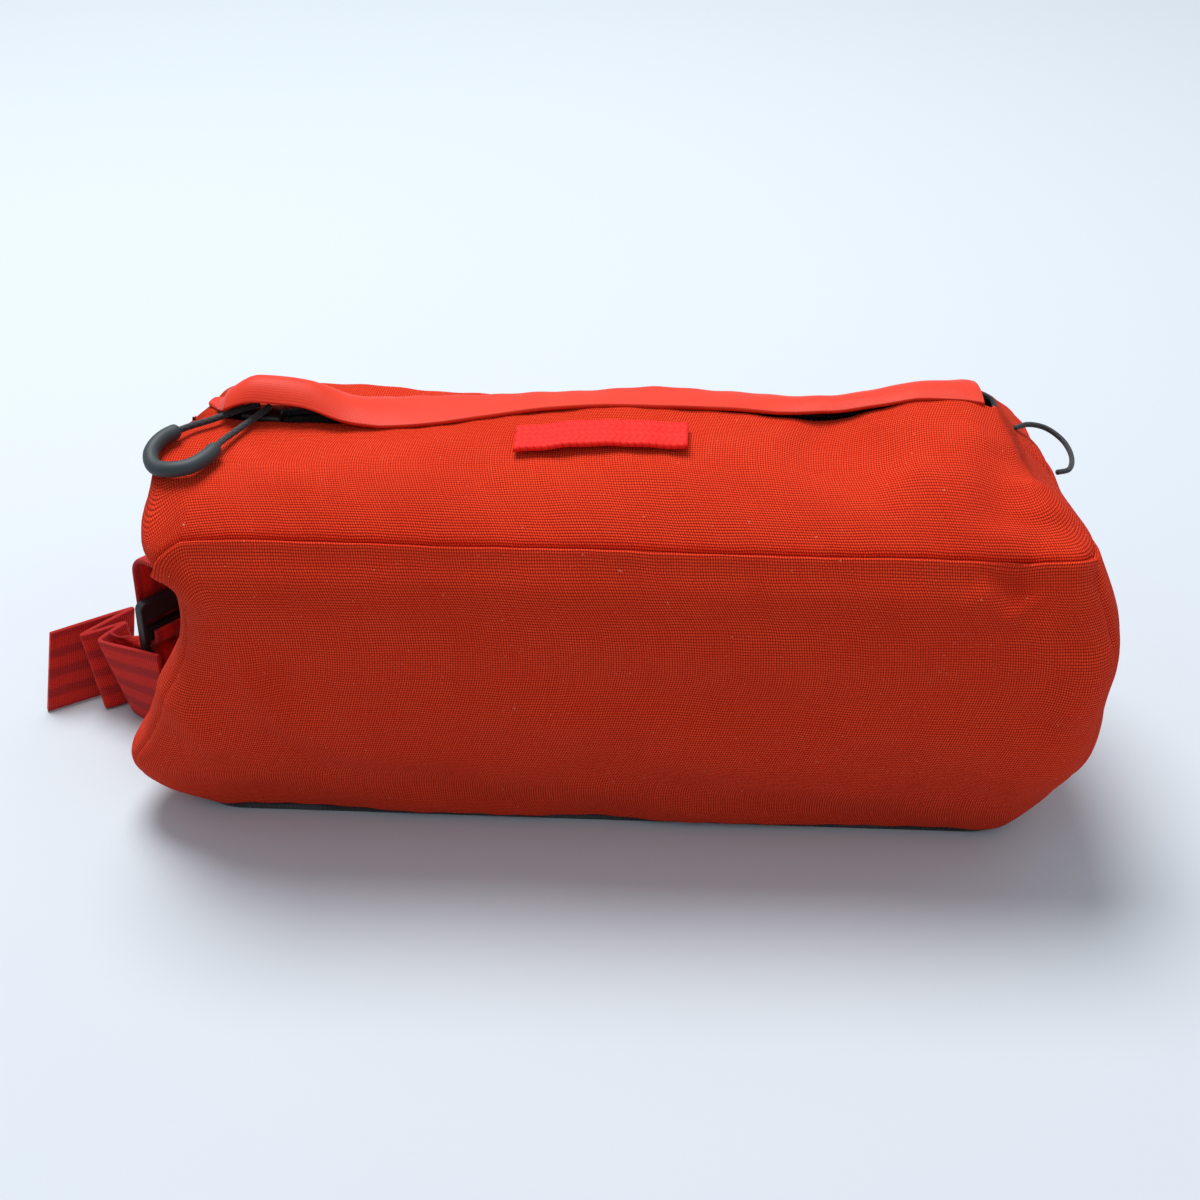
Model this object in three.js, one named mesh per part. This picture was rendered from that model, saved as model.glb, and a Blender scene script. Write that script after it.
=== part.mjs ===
// A small zipped handlebar bag of woven fabric, resting on its flat base.
// Millimetres, +Z up, X to the right and -Y towards the front. The origin is under the middle of the base.
import * as THREE from 'three';

// Driving sizes of the bag
const baseLength = 220;
const baseDepth = 80;
const bagHeight = 104.5;
const clothWall = 1.6;
const seamGap = 0.3;
const seamLap = 1.2;
const baseThickness = 2.2;
const baseInset = 1.2;

// Zip and its flap
const zipSlot = 6.5;
const tapeThickness = 0.8;
const coilWidth = 2.4;
const coilHeight = 1.6;
const sliderLength = 10;
const sliderHeight = 2.4;
const sliderPlace = -0.83;
const flapThickness = 1;

// Pull, loops and strap
const cordRadius = 0.85;
const gripRadius = 2;
const gripBore = 1.2;
const endCordRadius = 0.7;
const loopLength = 43;
const loopWidth = 11;
const loopThickness = 1.5;
const loopRise = 0.7;
const strapWidth = 25;
const strapThickness = 1.5;
const sliderFrameLength = 30;
const sliderFrameReach = 21;
const sliderBar = 3.6;
const sliderDepth = 2.9;
const strapClearance = 0.5;

const halfLength = baseLength / 2;
const halfDepth = baseDepth / 2;
const levelGap = seamGap / 2;

// The most of a side that one round corner takes, and how far back the top reaches its full sag
const cornerShare = 0.45;
const backSagReach = 0.3;

// Seams between the panels, as places round the outline, which runs from 0 to 8
const outlineEnd = 8;
const lowerLeftSeam = -0.5;
const lowerRightSeam = 1.5;
const backRightSeam = 3.5;
const backLeftSeam = 5.5;
const topRightSeam = 2.5;
const topLeftSeam = 6.5;

// Levels of the body from the base to the zip. Heights are shares of bagHeight, front and back and the
// round corners are shares of halfDepth, and the four ends are shares of halfLength.
const levelColumns = ['frontHeight', 'backHeight', 'front', 'back', 'leftFront', 'leftBack',
  'rightFront', 'rightBack', 'frontRound', 'backRound', 'backSag', 'zipShare'];
const levelTable = [
  [0.000, 0.000, -1.00, 1.00, -1.03, -0.92, 0.99, 0.93, 0.30, 0.36, 0, 0],
  [0.080, 0.080, -1.10, 1.04, -1.14, -0.98, 1.06, 0.96, 0.42, 0.42, 0, 0],
  [0.170, 0.170, -1.22, 1.07, -1.18, -0.985, 1.11, 0.98, 0.48, 0.46, 0, 0],
  [0.280, 0.280, -1.34, 1.09, -1.13, -1.00, 1.15, 1.00, 0.50, 0.48, 0, 0],
  [0.420, 0.420, -1.42, 1.09, -1.07, -0.98, 1.17, 1.02, 0.50, 0.48, 0, 0],
  [0.560, 0.550, -1.44, 1.08, -1.02, -0.96, 1.18, 1.02, 0.50, 0.46, 0, 0],
  [0.680, 0.660, -1.43, 1.05, -1.01, -0.95, 1.16, 1.00, 0.48, 0.46, 0.01, 0],
  [0.770, 0.750, -1.40, 1.02, -1.05, -0.96, 1.13, 0.98, 0.44, 0.44, 0.02, 0],
  [0.825, 0.815, -1.33, 0.98, -1.07, -0.96, 1.11, 0.96, 0.40, 0.42, 0.04, 0],
  [0.855, 0.860, -1.25, 0.92, -1.07, -0.95, 1.10, 0.94, 0.36, 0.40, 0.06, 0],
  [0.915, 0.905, -1.08, 0.82, -1.06, -0.93, 1.03, 0.90, 0.34, 0.38, 0.07, 0.05],
  [0.953, 0.935, -0.92, 0.68, -1.06, -0.93, 0.98, 0.88, 0.30, 0.32, 0.06, 0.20],
  [0.981, 0.960, -0.73, 0.48, -1.06, -0.93, 0.95, 0.88, 0.24, 0.22, 0.05, 0.50],
  [0.998, 0.982, -0.40, 0.27, -1.02, -0.93, 0.91, 0.88, 0.14, 0.12, 0.035, 0.85],
  [1.000, 1.000, 0, 0, -0.93, -0.93, 0.87, 0.87, 0.04, 0.04, 0, 1],
];
const seamLevel = 9;
const zipLevel = levelTable.length - 1;

// The zip line from left to right: along is a share of halfLength, aside of halfDepth, height of bagHeight,
// and the flap's reach to the front, lift and crown are shares of zipSlot.
const zipColumns = ['along', 'aside', 'height', 'reach', 'lift', 'crown'];
const zipTable = [
  [-1.00, -0.04, 0.950, 1.00, 0.35, 0.10],
  [-0.95, -0.06, 0.955, 1.05, 0.50, 0.30],
  [-0.84, -0.12, 0.955, 0.85, 1.00, 0.75],
  [-0.73, -0.14, 0.958, 0.70, 0.90, 0.65],
  [-0.60, -0.13, 0.960, 0.85, 0.50, 0.30],
  [-0.47, -0.11, 0.965, 0.85, 0.30, 0.12],
  [-0.31, -0.07, 0.980, 0.75, 0.20, 0.05],
  [-0.14, -0.02, 0.994, 0.62, 0.18, 0.05],
  [0.00, 0.00, 0.998, 0.55, 0.18, 0.05],
  [0.24, 0.00, 0.996, 0.52, 0.20, 0.08],
  [0.40, 0.00, 0.984, 0.45, 0.35, 0.35],
  [0.49, 0.01, 0.978, 0.45, 0.50, 0.55],
  [0.60, 0.04, 1.000, 0.50, 0.38, 0.40],
  [0.71, 0.07, 1.022, 0.60, 0.25, 0.28],
  [0.80, 0.06, 1.022, 0.62, 0.25, 0.22],
  [0.87, 0.03, 1.000, 0.60, 0.45, 0.15],
  [0.93, 0.00, 0.965, 0.80, 0.45, 0.05],
];

// Dents and folds: the middle as shares of halfLength, halfDepth and bagHeight, the spreads likewise, the
// turn in the front view in radians, and the depth as a share of halfDepth, negative inwards.
const foldColumns = ['x', 'y', 'z', 'wide', 'deep', 'high', 'turn', 'depth'];
const foldTable = [
  [-1.00, -1.15, 0.62, 0.10, 0.50, 0.13, 0.0, -0.075],
  [-0.74, -1.45, 0.49, 0.05, 0.60, 0.22, 0.5, -0.040],
  [1.14, -1.05, 0.54, 0.08, 0.35, 0.13, 0.2, -0.080],
  [0.92, -1.40, 0.77, 0.06, 0.40, 0.07, -0.7, -0.040],
  [-1.00, 0.15, 0.48, 0.20, 0.90, 0.30, 0.0, -0.050],
  [1.12, 0.10, 0.45, 0.12, 0.60, 0.20, 0.0, 0.080],
];

// Finds a row's values between the rows of a table, by the column named key
function lookUp(columns, table, key, value) {
  const keyColumn = columns.indexOf(key);
  let row = 0;
  while (row < table.length - 2 && table[row + 1][keyColumn] < value) row += 1;
  const low = table[row];
  const high = table[row + 1];
  const share = THREE.MathUtils.clamp((value - low[keyColumn]) / (high[keyColumn] - low[keyColumn]), 0, 1);
  const found = {};
  columns.forEach((column, k) => { found[column] = low[k] + (high[k] - low[k]) * share; });
  return found;
}

function levelAt(v) {
  const low = Math.min(Math.floor(v), zipLevel - 1);
  const share = v - low;
  const found = {};
  levelColumns.forEach((column, k) => {
    found[column] = levelTable[low][k] * (1 - share) + levelTable[low + 1][k] * share;
  });
  return found;
}

const zipAt = (x) => lookUp(zipColumns, zipTable, 'along', x / halfLength);

// The closed outline of one level. u runs 0 to 8: front, right corner, right end, back corner, back,
// back corner, left end, front corner.
function bodyPoint(u, v) {
  const level = levelAt(v);
  const slot = level.zipShare * zipSlot / 2 * Math.max(0, v - zipLevel + 1);
  const corner = (x, y, z, side) => (
    new THREE.Vector3(x * halfLength, y * halfDepth + side * slot, z * bagHeight));
  const corners = [
    corner(level.leftFront, level.front, level.frontHeight, -1),
    corner(level.rightFront, level.front, level.frontHeight, -1),
    corner(level.rightBack, level.back, level.backHeight, 1),
    corner(level.leftBack, level.back, level.backHeight, 1),
  ];
  const rounds = [level.frontRound, level.frontRound, level.backRound, level.backRound];
  const turn = THREE.MathUtils.euclideanModulo(u, outlineEnd);
  const side = Math.floor(turn / 2);
  const share = turn - 2 * side;
  const cut = (from, to) => {
    const way = corners[to].clone().sub(corners[from]);
    const length = Math.min(rounds[from] * halfDepth / way.length(), cornerShare);
    return corners[from].clone().addScaledVector(way, length);
  };
  const next = (side + 1) % 4;
  const after = (side + 2) % 4;
  const point = new THREE.Vector3();
  if (share <= 1) {
    point.lerpVectors(cut(side, next), cut(next, side), share);
  } else {
    const bend = share - 1;
    point.addScaledVector(cut(next, side), (1 - bend) ** 2);
    point.addScaledVector(corners[next], 2 * bend * (1 - bend));
    point.addScaledVector(cut(next, after), bend ** 2);
  }
  const zip = zipAt(point.x);
  point.y += zip.aside * halfDepth * level.zipShare;
  point.z += (zip.height - 1) * bagHeight * level.zipShare;
  const backShare = THREE.MathUtils.smoothstep(point.y, 0, halfDepth * backSagReach);
  const middleShare = Math.max(0, 1 - (point.x / halfLength) ** 2);
  point.z -= level.backSag * bagHeight * middleShare * backShare;
  return point;
}

// How the unfolded body runs along u and up v, for each unit of both, taken over a short stretch so that
// two panels share one direction at the seam between them
const probe = 0.1;
const levelProbe = 0.3;

function slopesAt(u, v) {
  const low = Math.max(v - levelProbe, 0);
  const high = Math.min(v + levelProbe, zipLevel);
  const along = bodyPoint(u + probe, v).sub(bodyPoint(u - probe, v)).divideScalar(2 * probe);
  const up = bodyPoint(u, high).sub(bodyPoint(u, low)).divideScalar(high - low);
  return { along, up };
}

function foldDepth(point) {
  let depth = 0;
  for (const row of foldTable) {
    const fold = Object.fromEntries(foldColumns.map((column, k) => [column, row[k]]));
    const dx = point.x - fold.x * halfLength;
    const dz = point.z - fold.z * bagHeight;
    const dy = (point.y - fold.y * halfDepth) / (fold.deep * halfDepth);
    const across = (dx * Math.cos(fold.turn) + dz * Math.sin(fold.turn)) / (fold.wide * halfLength);
    const along = (dz * Math.cos(fold.turn) - dx * Math.sin(fold.turn)) / (fold.high * bagHeight);
    depth += fold.depth * halfDepth * Math.exp(-across * across - along * along - dy * dy);
  }
  return depth;
}

// A point and its outward normal on the folded body
function surfaceAt(u, v) {
  const { along, up } = slopesAt(u, v);
  const normal = along.cross(up).normalize();
  const point = bodyPoint(u, v);
  point.addScaledVector(normal, foldDepth(point));
  return { point, normal };
}

const offsetPoint = (u, v, distance) => {
  const { point, normal } = surfaceAt(u, v);
  return point.addScaledVector(normal, distance);
};

// A closed shell between an outer and an inner grid of points
function shellGeometry(outer, inner) {
  const rows = outer.length;
  const columns = outer[0].length;
  const positions = [];
  [outer, inner].flat(2).forEach((point) => positions.push(...point));
  const at = (layer, row, column) => (layer * rows + row) * columns + column;
  const indices = [];
  const quad = (a, b, c, d) => indices.push(a, b, c, a, c, d);
  for (let r = 0; r < rows - 1; r += 1) {
    for (let c = 0; c < columns - 1; c += 1) {
      quad(at(0, r, c), at(0, r, c + 1), at(0, r + 1, c + 1), at(0, r + 1, c));
      quad(at(1, r, c), at(1, r + 1, c), at(1, r + 1, c + 1), at(1, r, c + 1));
    }
    quad(at(0, r, 0), at(0, r + 1, 0), at(1, r + 1, 0), at(1, r, 0));
    quad(at(0, r, columns - 1), at(1, r, columns - 1), at(1, r + 1, columns - 1), at(0, r + 1, columns - 1));
  }
  for (let c = 0; c < columns - 1; c += 1) {
    quad(at(0, 0, c), at(1, 0, c), at(1, 0, c + 1), at(0, 0, c + 1));
    quad(at(0, rows - 1, c), at(0, rows - 1, c + 1), at(1, rows - 1, c + 1), at(1, rows - 1, c));
  }
  const geometry = new THREE.BufferGeometry();
  geometry.setAttribute('position', new THREE.Float32BufferAttribute(positions, 3));
  geometry.setIndex(indices);
  geometry.computeVertexNormals();
  return geometry;
}

const steps = (from, to, count) => (
  Array.from({ length: count + 1 }, (_, k) => from + (to - from) * k / count));

// The places along u where a panel has its columns. Each unit of the outline has its own count.
const outlineSteps = [18, 4, 5, 4, 12, 4, 5, 4];

function columnsBetween(from, to) {
  const places = [from];
  for (let unit = Math.floor(from); unit < to; unit += 1) {
    const count = outlineSteps[THREE.MathUtils.euclideanModulo(unit, outlineEnd)];
    places.push(...steps(unit, unit + 1, count).slice(0, count).filter((u) => u > from && u < to));
  }
  return [...places, to];
}

function panelGeometry(from, to, bottom, top, lap) {
  const columns = columnsBetween(from, to);
  const levels = steps(bottom, top, top - bottom);
  const placed = (u, v) => {
    const { along, up } = slopesAt(u, v);
    let shiftedU = u;
    let shiftedV = v;
    const stepU = levelGap / along.length();
    const stepV = levelGap / up.length();
    if (u === from) shiftedU += stepU;
    if (u === to) shiftedU -= stepU;
    if (v === bottom && bottom > 0) shiftedV += stepV;
    if (v === top && top < zipLevel) shiftedV -= stepV;
    return [shiftedU, shiftedV];
  };
  const lift = (v) => lap * Math.max(0, v - top + 1);
  const grid = (distance) => levels.map((v) => (
    columns.map((u) => offsetPoint(...placed(u, v), distance + lift(v)))));
  return shellGeometry(grid(0), grid(-clothWall));
}

// Base: a flat dark panel with round corners, under the lowest level
function baseGeometry() {
  const outline = new THREE.Shape(columnsBetween(0, outlineEnd).slice(0, -1).map((u) => {
    const point = bodyPoint(u, 0);
    return new THREE.Vector2(point.x * (1 - baseInset / halfLength), point.y * (1 - baseInset / halfDepth));
  }));
  return new THREE.ExtrudeGeometry(outline, { depth: baseThickness, bevelEnabled: false });
}

// The body stands on the base
const bodyLift = baseThickness + seamGap;

// Zip tapes: each runs under its panel's edge and ends beside the coil
const zipEnds = [0.02, 0.94];
const tapeTuck = 0.3;
const zipSteps = 28;
const backMirror = 5;

function tapeGeometry(isFront) {
  const depth = clothWall + 3 * seamGap;
  const towards = isFront ? 1 : -1;
  const shares = steps(zipEnds[0], zipEnds[1], zipSteps);
  const underPanel = (v, drop) => shares.map((share) => (
    offsetPoint(isFront ? share : backMirror - share, v, -depth - drop)));
  const besideCoil = (drop) => underPanel(zipLevel, drop).map((point, k) => {
    point.y = zipMiddle(shares[k]).y - towards * (coilWidth / 2 + seamGap);
    return point;
  });
  const grid = (drop) => {
    const rows = [underPanel(zipLevel - tapeTuck, drop), underPanel(zipLevel, drop), besideCoil(drop)];
    return isFront ? rows : rows.reverse();
  };
  return shellGeometry(grid(0), grid(tapeThickness));
}

// The middle of the slot at a share of its length, at the height of the panels' edges
function zipMiddle(share) {
  const front = bodyPoint(share, zipLevel);
  const back = bodyPoint(backMirror - share, zipLevel);
  return front.add(back).multiplyScalar(0.5);
}

function coilGeometry() {
  const row = (aside, rise) => steps(zipEnds[0], zipEnds[1], zipSteps).map((share) => {
    const point = zipMiddle(share);
    point.y += aside;
    point.z += rise;
    return point;
  });
  const top = -clothWall - seamGap + tapeThickness / 2;
  const grid = (rise) => [row(-coilWidth / 2, rise), row(coilWidth / 2, rise)];
  return shellGeometry(grid(top), grid(top - coilHeight));
}

// Zip slider: a wedge-shaped plate on the coil
const sliderNarrow = 0.7;
const sliderCurve = 4;

function zipSliderGeometry() {
  const half = sliderLength / 2;
  const wide = zipSlot / 2 - 2 * seamGap;
  const narrow = wide * sliderNarrow;
  const outline = new THREE.Shape();
  outline.moveTo(-half, -narrow);
  outline.quadraticCurveTo(0, -wide, half, -wide);
  outline.lineTo(half, wide);
  outline.quadraticCurveTo(0, wide, -half, narrow);
  outline.closePath();
  const shape = { depth: sliderHeight, bevelEnabled: false, curveSegments: sliderCurve };
  return new THREE.ExtrudeGeometry(outline, shape);
}

// Flap: a coated strip seated behind the zip that arches over it to a free front edge. Its bend's control
// point is two crowns high.
const flapSeat = 0.8;
const flapMargin = 0.005;
const flapSteps = 34;
const flapBendSteps = 6;

function flapGeometry() {
  const across = steps(0, 1, flapBendSteps);
  const along = steps(flapMargin, 1 - flapMargin, flapSteps);
  const grid = (rise) => across.map((share) => along.map((place) => {
    const seat = offsetPoint(backMirror - place, zipLevel - flapSeat, 2 * seamGap + rise);
    const front = bodyPoint(place, zipLevel);
    const zip = zipAt(front.x);
    front.y += zipSlot / 2 - zip.reach * zipSlot;
    front.z += zip.lift * zipSlot + rise;
    const top = front.clone().lerp(seat, 0.5);
    top.z = Math.max(front.z, seat.z) + zip.crown * zipSlot * 2;
    const point = new THREE.Vector3();
    point.addScaledVector(front, (1 - share) ** 2);
    point.addScaledVector(top, 2 * share * (1 - share));
    point.addScaledVector(seat, share ** 2);
    return point;
  }));
  return shellGeometry(grid(flapThickness), grid(0));
}

// A flat band swept through sections: each section is a middle, an across way and a thick way
function bandGeometry(sections, width, thickness) {
  const grid = (side) => [-0.5, 0.5].map((share) => sections.map((section) => section.middle.clone()
    .addScaledVector(section.across, width * share)
    .addScaledVector(section.thick, side * thickness / 2)));
  return shellGeometry(grid(1), grid(-1));
}

// Light loop: a short webbing strip, sewn down over loopFoot at both ends and bowed from there to loopFree.
// The panel is curved under the loop's width, so the loop's middle is seated loopSeat off it.
const loopSeat = 0.9;
const loopMiddle = -0.027;
const loopLevel = zipLevel - 1.12;
const loopFoot = 0.12;
const loopFree = 0.3;
const loopSteps = 22;

function lightLoopGeometry() {
  const middleU = (loopMiddle * halfLength - bodyPoint(0, loopLevel).x)
    / (bodyPoint(1, loopLevel).x - bodyPoint(0, loopLevel).x);
  const perMillimetre = 1 / bodyPoint(1, loopLevel).distanceTo(bodyPoint(0, loopLevel));
  const rise = (share) => THREE.MathUtils.smoothstep(share, loopFoot, loopFree);
  const sections = steps(0, 1, loopSteps).map((share) => {
    const u = middleU + (share - 0.5) * loopLength * perMillimetre;
    const bow = rise(share) * rise(1 - share);
    const { point, normal } = surfaceAt(u, loopLevel);
    const across = normal.clone().cross(new THREE.Vector3(1, 0, 0)).normalize();
    point.addScaledVector(normal, loopSeat + loopThickness / 2 + bow * loopRise);
    return { middle: point, across, thick: normal };
  });
  return bandGeometry(sections, loopWidth, loopThickness);
}

// A round cord or grip along chosen points
function tubeGeometry(points, radius, bore, sides, count) {
  const ring = (size) => steps(0, 1, sides).slice(0, sides).map((share) => {
    const angle = share * 2 * Math.PI;
    return new THREE.Vector2(Math.cos(angle) * size, Math.sin(angle) * size);
  });
  const section = new THREE.Shape(ring(radius));
  if (bore > 0) section.holes.push(new THREE.Path(ring(bore)));
  const path = new THREE.CatmullRomCurve3(points, false, 'centripetal');
  return new THREE.ExtrudeGeometry(section, { steps: count, extrudePath: path, bevelEnabled: false });
}

// The pull cord's route: from the slider, round through the grip and back
const cordRoute = [
  [-92.0, -3.6, 105.4], [-97.5, -6.6, 104.8], [-102.5, -10.8, 104.5], [-108.6, -17.0, 105.0],
  [-112.9, -22.6, 105.0], [-114.4, -28.8, 104.1], [-112.2, -34.2, 103.4], [-107.8, -36.4, 104.0],
  [-103.2, -35.4, 104.5], [-99.6, -30.8, 105.0], [-98.0, -24.0, 105.0], [-95.6, -17.0, 104.5],
  [-92.0, -10.0, 104.8], [-89.0, -5.2, 105.6],
].map((point) => new THREE.Vector3(...point));
const gripShares = [0.28, 0.72];
const cordSides = 8;
const gripSides = 10;
const cordSteps = 44;
const gripSteps = 18;
const endCordSteps = 20;

// The thin cord loop at the right end of the zip
const endLoopRoute = [
  [102.0, 1.5, 101.0], [106.0, 4.5, 100.6], [111.0, 6.0, 98.8], [115.0, 3.0, 97.0],
  [116.6, -3.0, 95.6], [115.2, -9.0, 95.2], [111.8, -11.8, 95.8],
].map((point) => new THREE.Vector3(...point));

// Strap hardware. The slider hangs upright beside the left end, turned by sliderTurn from it. The anchor is
// a webbing tab that leaves the end panel, bends down behind the slider and hooks under its middle bar.
const leftEndU = 6.3;
const anchorHeight = 0.478;
const rootClearance = 0.9;
const anchorBend = 6;
const sliderTurn = -0.6;
const sliderReach = 17;
const sliderShift = 6.8;
const sliderTop = 38;
const turnSteps = 8;
const barTurn = Math.hypot(sliderBar, sliderDepth) / 2 + strapThickness / 2 + seamGap;

function levelOfHeight(height) {
  const found = levelTable.findIndex((row) => row[0] >= height);
  const low = levelTable[found - 1][0];
  return found - 1 + (height - low) / (levelTable[found][0] - low);
}

const upright = new THREE.Vector3(0, 0, 1);
const anchorLevel = levelOfHeight(anchorHeight);
const anchorRoot = surfaceAt(leftEndU, anchorLevel).point;
anchorRoot.z += bodyLift;
const endAcross = slopesAt(leftEndU, anchorLevel).along.setZ(0).normalize();
const endOut = new THREE.Vector3(endAcross.y, -endAcross.x, 0);
const sliderAcross = endAcross.clone().applyAxisAngle(upright, sliderTurn);
const sliderOut = endOut.clone().applyAxisAngle(upright, sliderTurn);
const barPitch = (sliderFrameReach - sliderBar) / 2;
const barMiddle = (bar) => anchorRoot.clone().addScaledVector(endOut, sliderReach)
  .addScaledVector(endAcross, -sliderShift).setZ(sliderTop - sliderBar / 2 - bar * barPitch);

// Points round a bar from its front to its back, over it or under it
function barTurnSections(bar, rise) {
  return steps(0, Math.PI, turnSteps).map((angle) => {
    const way = sliderOut.clone().multiplyScalar(-Math.cos(angle))
      .addScaledVector(upright, rise * Math.sin(angle));
    return { middle: barMiddle(bar).addScaledVector(way, barTurn), across: sliderAcross, thick: way };
  });
}

function anchorGeometry() {
  const hook = barTurnSections(1, -1);
  const start = { ...hook[0], middle: hook[0].middle.clone().addScaledVector(upright, sliderBar / 2) };
  const bendMiddle = barMiddle(0).addScaledVector(sliderOut, barTurn - anchorBend)
    .setZ(anchorRoot.z - anchorBend);
  const bend = steps(0, Math.PI / 2, turnSteps).map((angle) => {
    const way = sliderOut.clone().multiplyScalar(Math.cos(angle)).addScaledVector(upright, Math.sin(angle));
    return { middle: bendMiddle.clone().addScaledVector(way, anchorBend), across: sliderAcross, thick: way };
  });
  const top = bend[turnSteps].middle;
  const root = anchorRoot.clone().addScaledVector(endOut, rootClearance);
  const run = steps(0, 1, turnSteps / 2).slice(1).map((share) => ({
    middle: top.clone().lerp(root, share),
    across: sliderAcross.clone().lerp(endAcross, share).normalize(),
    thick: upright,
  }));
  return bandGeometry([start, ...hook, ...bend, ...run].reverse(), strapWidth, strapThickness);
}

// Strap slider: a flat frame of three bars between two posts
const sliderPost = 2;

function frameGeometry() {
  const long = sliderFrameLength / 2;
  const inner = long - sliderPost;
  const outline = new THREE.Shape();
  outline.moveTo(-long, -sliderBar / 2);
  outline.lineTo(long, -sliderBar / 2);
  outline.lineTo(long, sliderFrameReach - sliderBar / 2);
  outline.lineTo(-long, sliderFrameReach - sliderBar / 2);
  outline.closePath();
  for (const start of [sliderBar / 2, sliderBar / 2 + barPitch]) {
    const end = start + barPitch - sliderBar;
    const hole = new THREE.Path();
    hole.moveTo(-inner, start);
    hole.lineTo(inner, start);
    hole.lineTo(inner, end);
    hole.lineTo(-inner, end);
    hole.closePath();
    outline.holes.push(hole);
  }
  const geometry = new THREE.ExtrudeGeometry(outline, { depth: sliderDepth, bevelEnabled: false });
  geometry.translate(0, 0, -sliderDepth / 2);
  const downwards = upright.clone().negate();
  const normal = sliderAcross.clone().cross(downwards);
  const place = new THREE.Matrix4().makeBasis(sliderAcross, downwards, normal).setPosition(barMiddle(0));
  geometry.applyMatrix4(place);
  return geometry;
}

// Strap loop: webbing over the slider's lowest bar that leaves it behind and turns onto its edge, with the
// middle, across and height of its far end from the slider's middle, in widths of the strap
const strapLoopEnd = { aside: -0.62, back: -0.25, height: 0.555 };
const strapLoopLean = { aside: -0.42, back: 0, height: 1 };
const strapLoopRun = { first: 0.42, second: 0.45 };
const strapLoopSteps = 16;

function strapLoopGeometry() {
  const inWidths = ({ aside, back, height }) => (
    new THREE.Vector3(aside, back, height).multiplyScalar(strapWidth));
  const hook = barTurnSections(2, 1);
  const start = { ...hook[0], middle: hook[0].middle.clone().addScaledVector(upright, -sliderBar / 2) };
  const last = hook[turnSteps];
  const away = inWidths(strapLoopEnd).add(barMiddle(0).setZ(0));
  const endUp = inWidths(strapLoopLean).normalize();
  const path = new THREE.CubicBezierCurve3(
    last.middle,
    last.middle.clone().addScaledVector(sliderOut, strapLoopRun.first * strapWidth),
    away.clone().add(new THREE.Vector3(strapLoopRun.second * strapWidth, 0, 0)),
    away,
  );
  const run = steps(0, 1, strapLoopSteps).slice(1).map((share) => {
    const across = sliderAcross.clone().multiplyScalar(Math.cos(share * Math.PI / 2))
      .addScaledVector(endUp, Math.sin(share * Math.PI / 2)).normalize();
    const along = path.getTangent(share);
    return { middle: path.getPoint(share), across, thick: along.clone().cross(across).normalize() };
  });
  return bandGeometry([start, ...hook, ...run], strapWidth, strapThickness);
}

// Strap tail: webbing folded to and fro, standing on its edge on the table. Columns: the low and the high
// edge of each fold, in widths of the strap from the bar's middle.
const tailTension = 0.25;
const tailReach = 20;
const tailSteps = 50;
const tailColumns = ['lowAlong', 'lowAside', 'highAlong', 'highAside'];
const tailTable = [
  [-1.46, 0.10, -1.34, 0.30],
  [-0.62, 0.62, -0.54, 0.88],
  [-0.78, 0.20, -0.98, 0.28],
  [-0.34, 0.46, -0.56, 0.56],
  [-0.42, 0.12, -0.76, 0.20],
  [0.02, -0.18, 0.00, -0.10],
];

function tailGeometry() {
  const rows = tailTable.map((row) => Object.fromEntries(tailColumns.map((column, k) => [column, row[k]])));
  const origin = new THREE.Vector3(anchorRoot.x - tailReach, 0, 0);
  const line = (along, aside, height) => new THREE.CatmullRomCurve3(rows.map((row) => (
    new THREE.Vector3(row[along] * strapWidth, row[aside] * strapWidth, height).add(origin)
  )), false, 'catmullrom', tailTension);
  const low = line('lowAlong', 'lowAside', 0);
  const high = line('highAlong', 'highAside', strapWidth);
  const edges = steps(0, 1, tailSteps).map((share) => [low.getPoint(share), high.getPoint(share)]);
  const sections = edges.map(([bottom, top], k) => {
    const before = edges[Math.max(k - 1, 0)];
    const after = edges[Math.min(k + 1, tailSteps)];
    const along = after[0].clone().add(after[1]).sub(before[0]).sub(before[1]);
    const thick = along.cross(top.clone().sub(bottom)).setZ(0).normalize();
    return { bottom, top, thick };
  });
  const grid = (side) => ['bottom', 'top'].map((edge) => sections.map((section) => (
    section[edge].clone().addScaledVector(section.thick, side * strapThickness / 2))));
  return shellGeometry(grid(1), grid(-1));
}

// Materials
const fabric = new THREE.MeshStandardMaterial({ color: 0xd8361c, roughness: 0.9, metalness: 0 });
const coated = new THREE.MeshStandardMaterial({ color: 0xe0492f, roughness: 0.55, metalness: 0 });
const darkFabric = new THREE.MeshStandardMaterial({ color: 0x1b1c20, roughness: 0.9, metalness: 0 });
const webbing = new THREE.MeshStandardMaterial({ color: 0xe02a12, roughness: 0.85, metalness: 0 });
const blackPlastic = new THREE.MeshStandardMaterial({ color: 0x17191b, roughness: 0.5, metalness: 0 });
const rubber = new THREE.MeshStandardMaterial({ color: 0x2c3234, roughness: 0.6, metalness: 0 });

const bag = new THREE.Group();
const body = new THREE.Group();
body.position.z = bodyLift;
bag.add(body);

function addPiece(group, name, geometry, material) {
  const mesh = new THREE.Mesh(geometry, material);
  mesh.name = name;
  group.add(mesh);
  return mesh;
}

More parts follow.
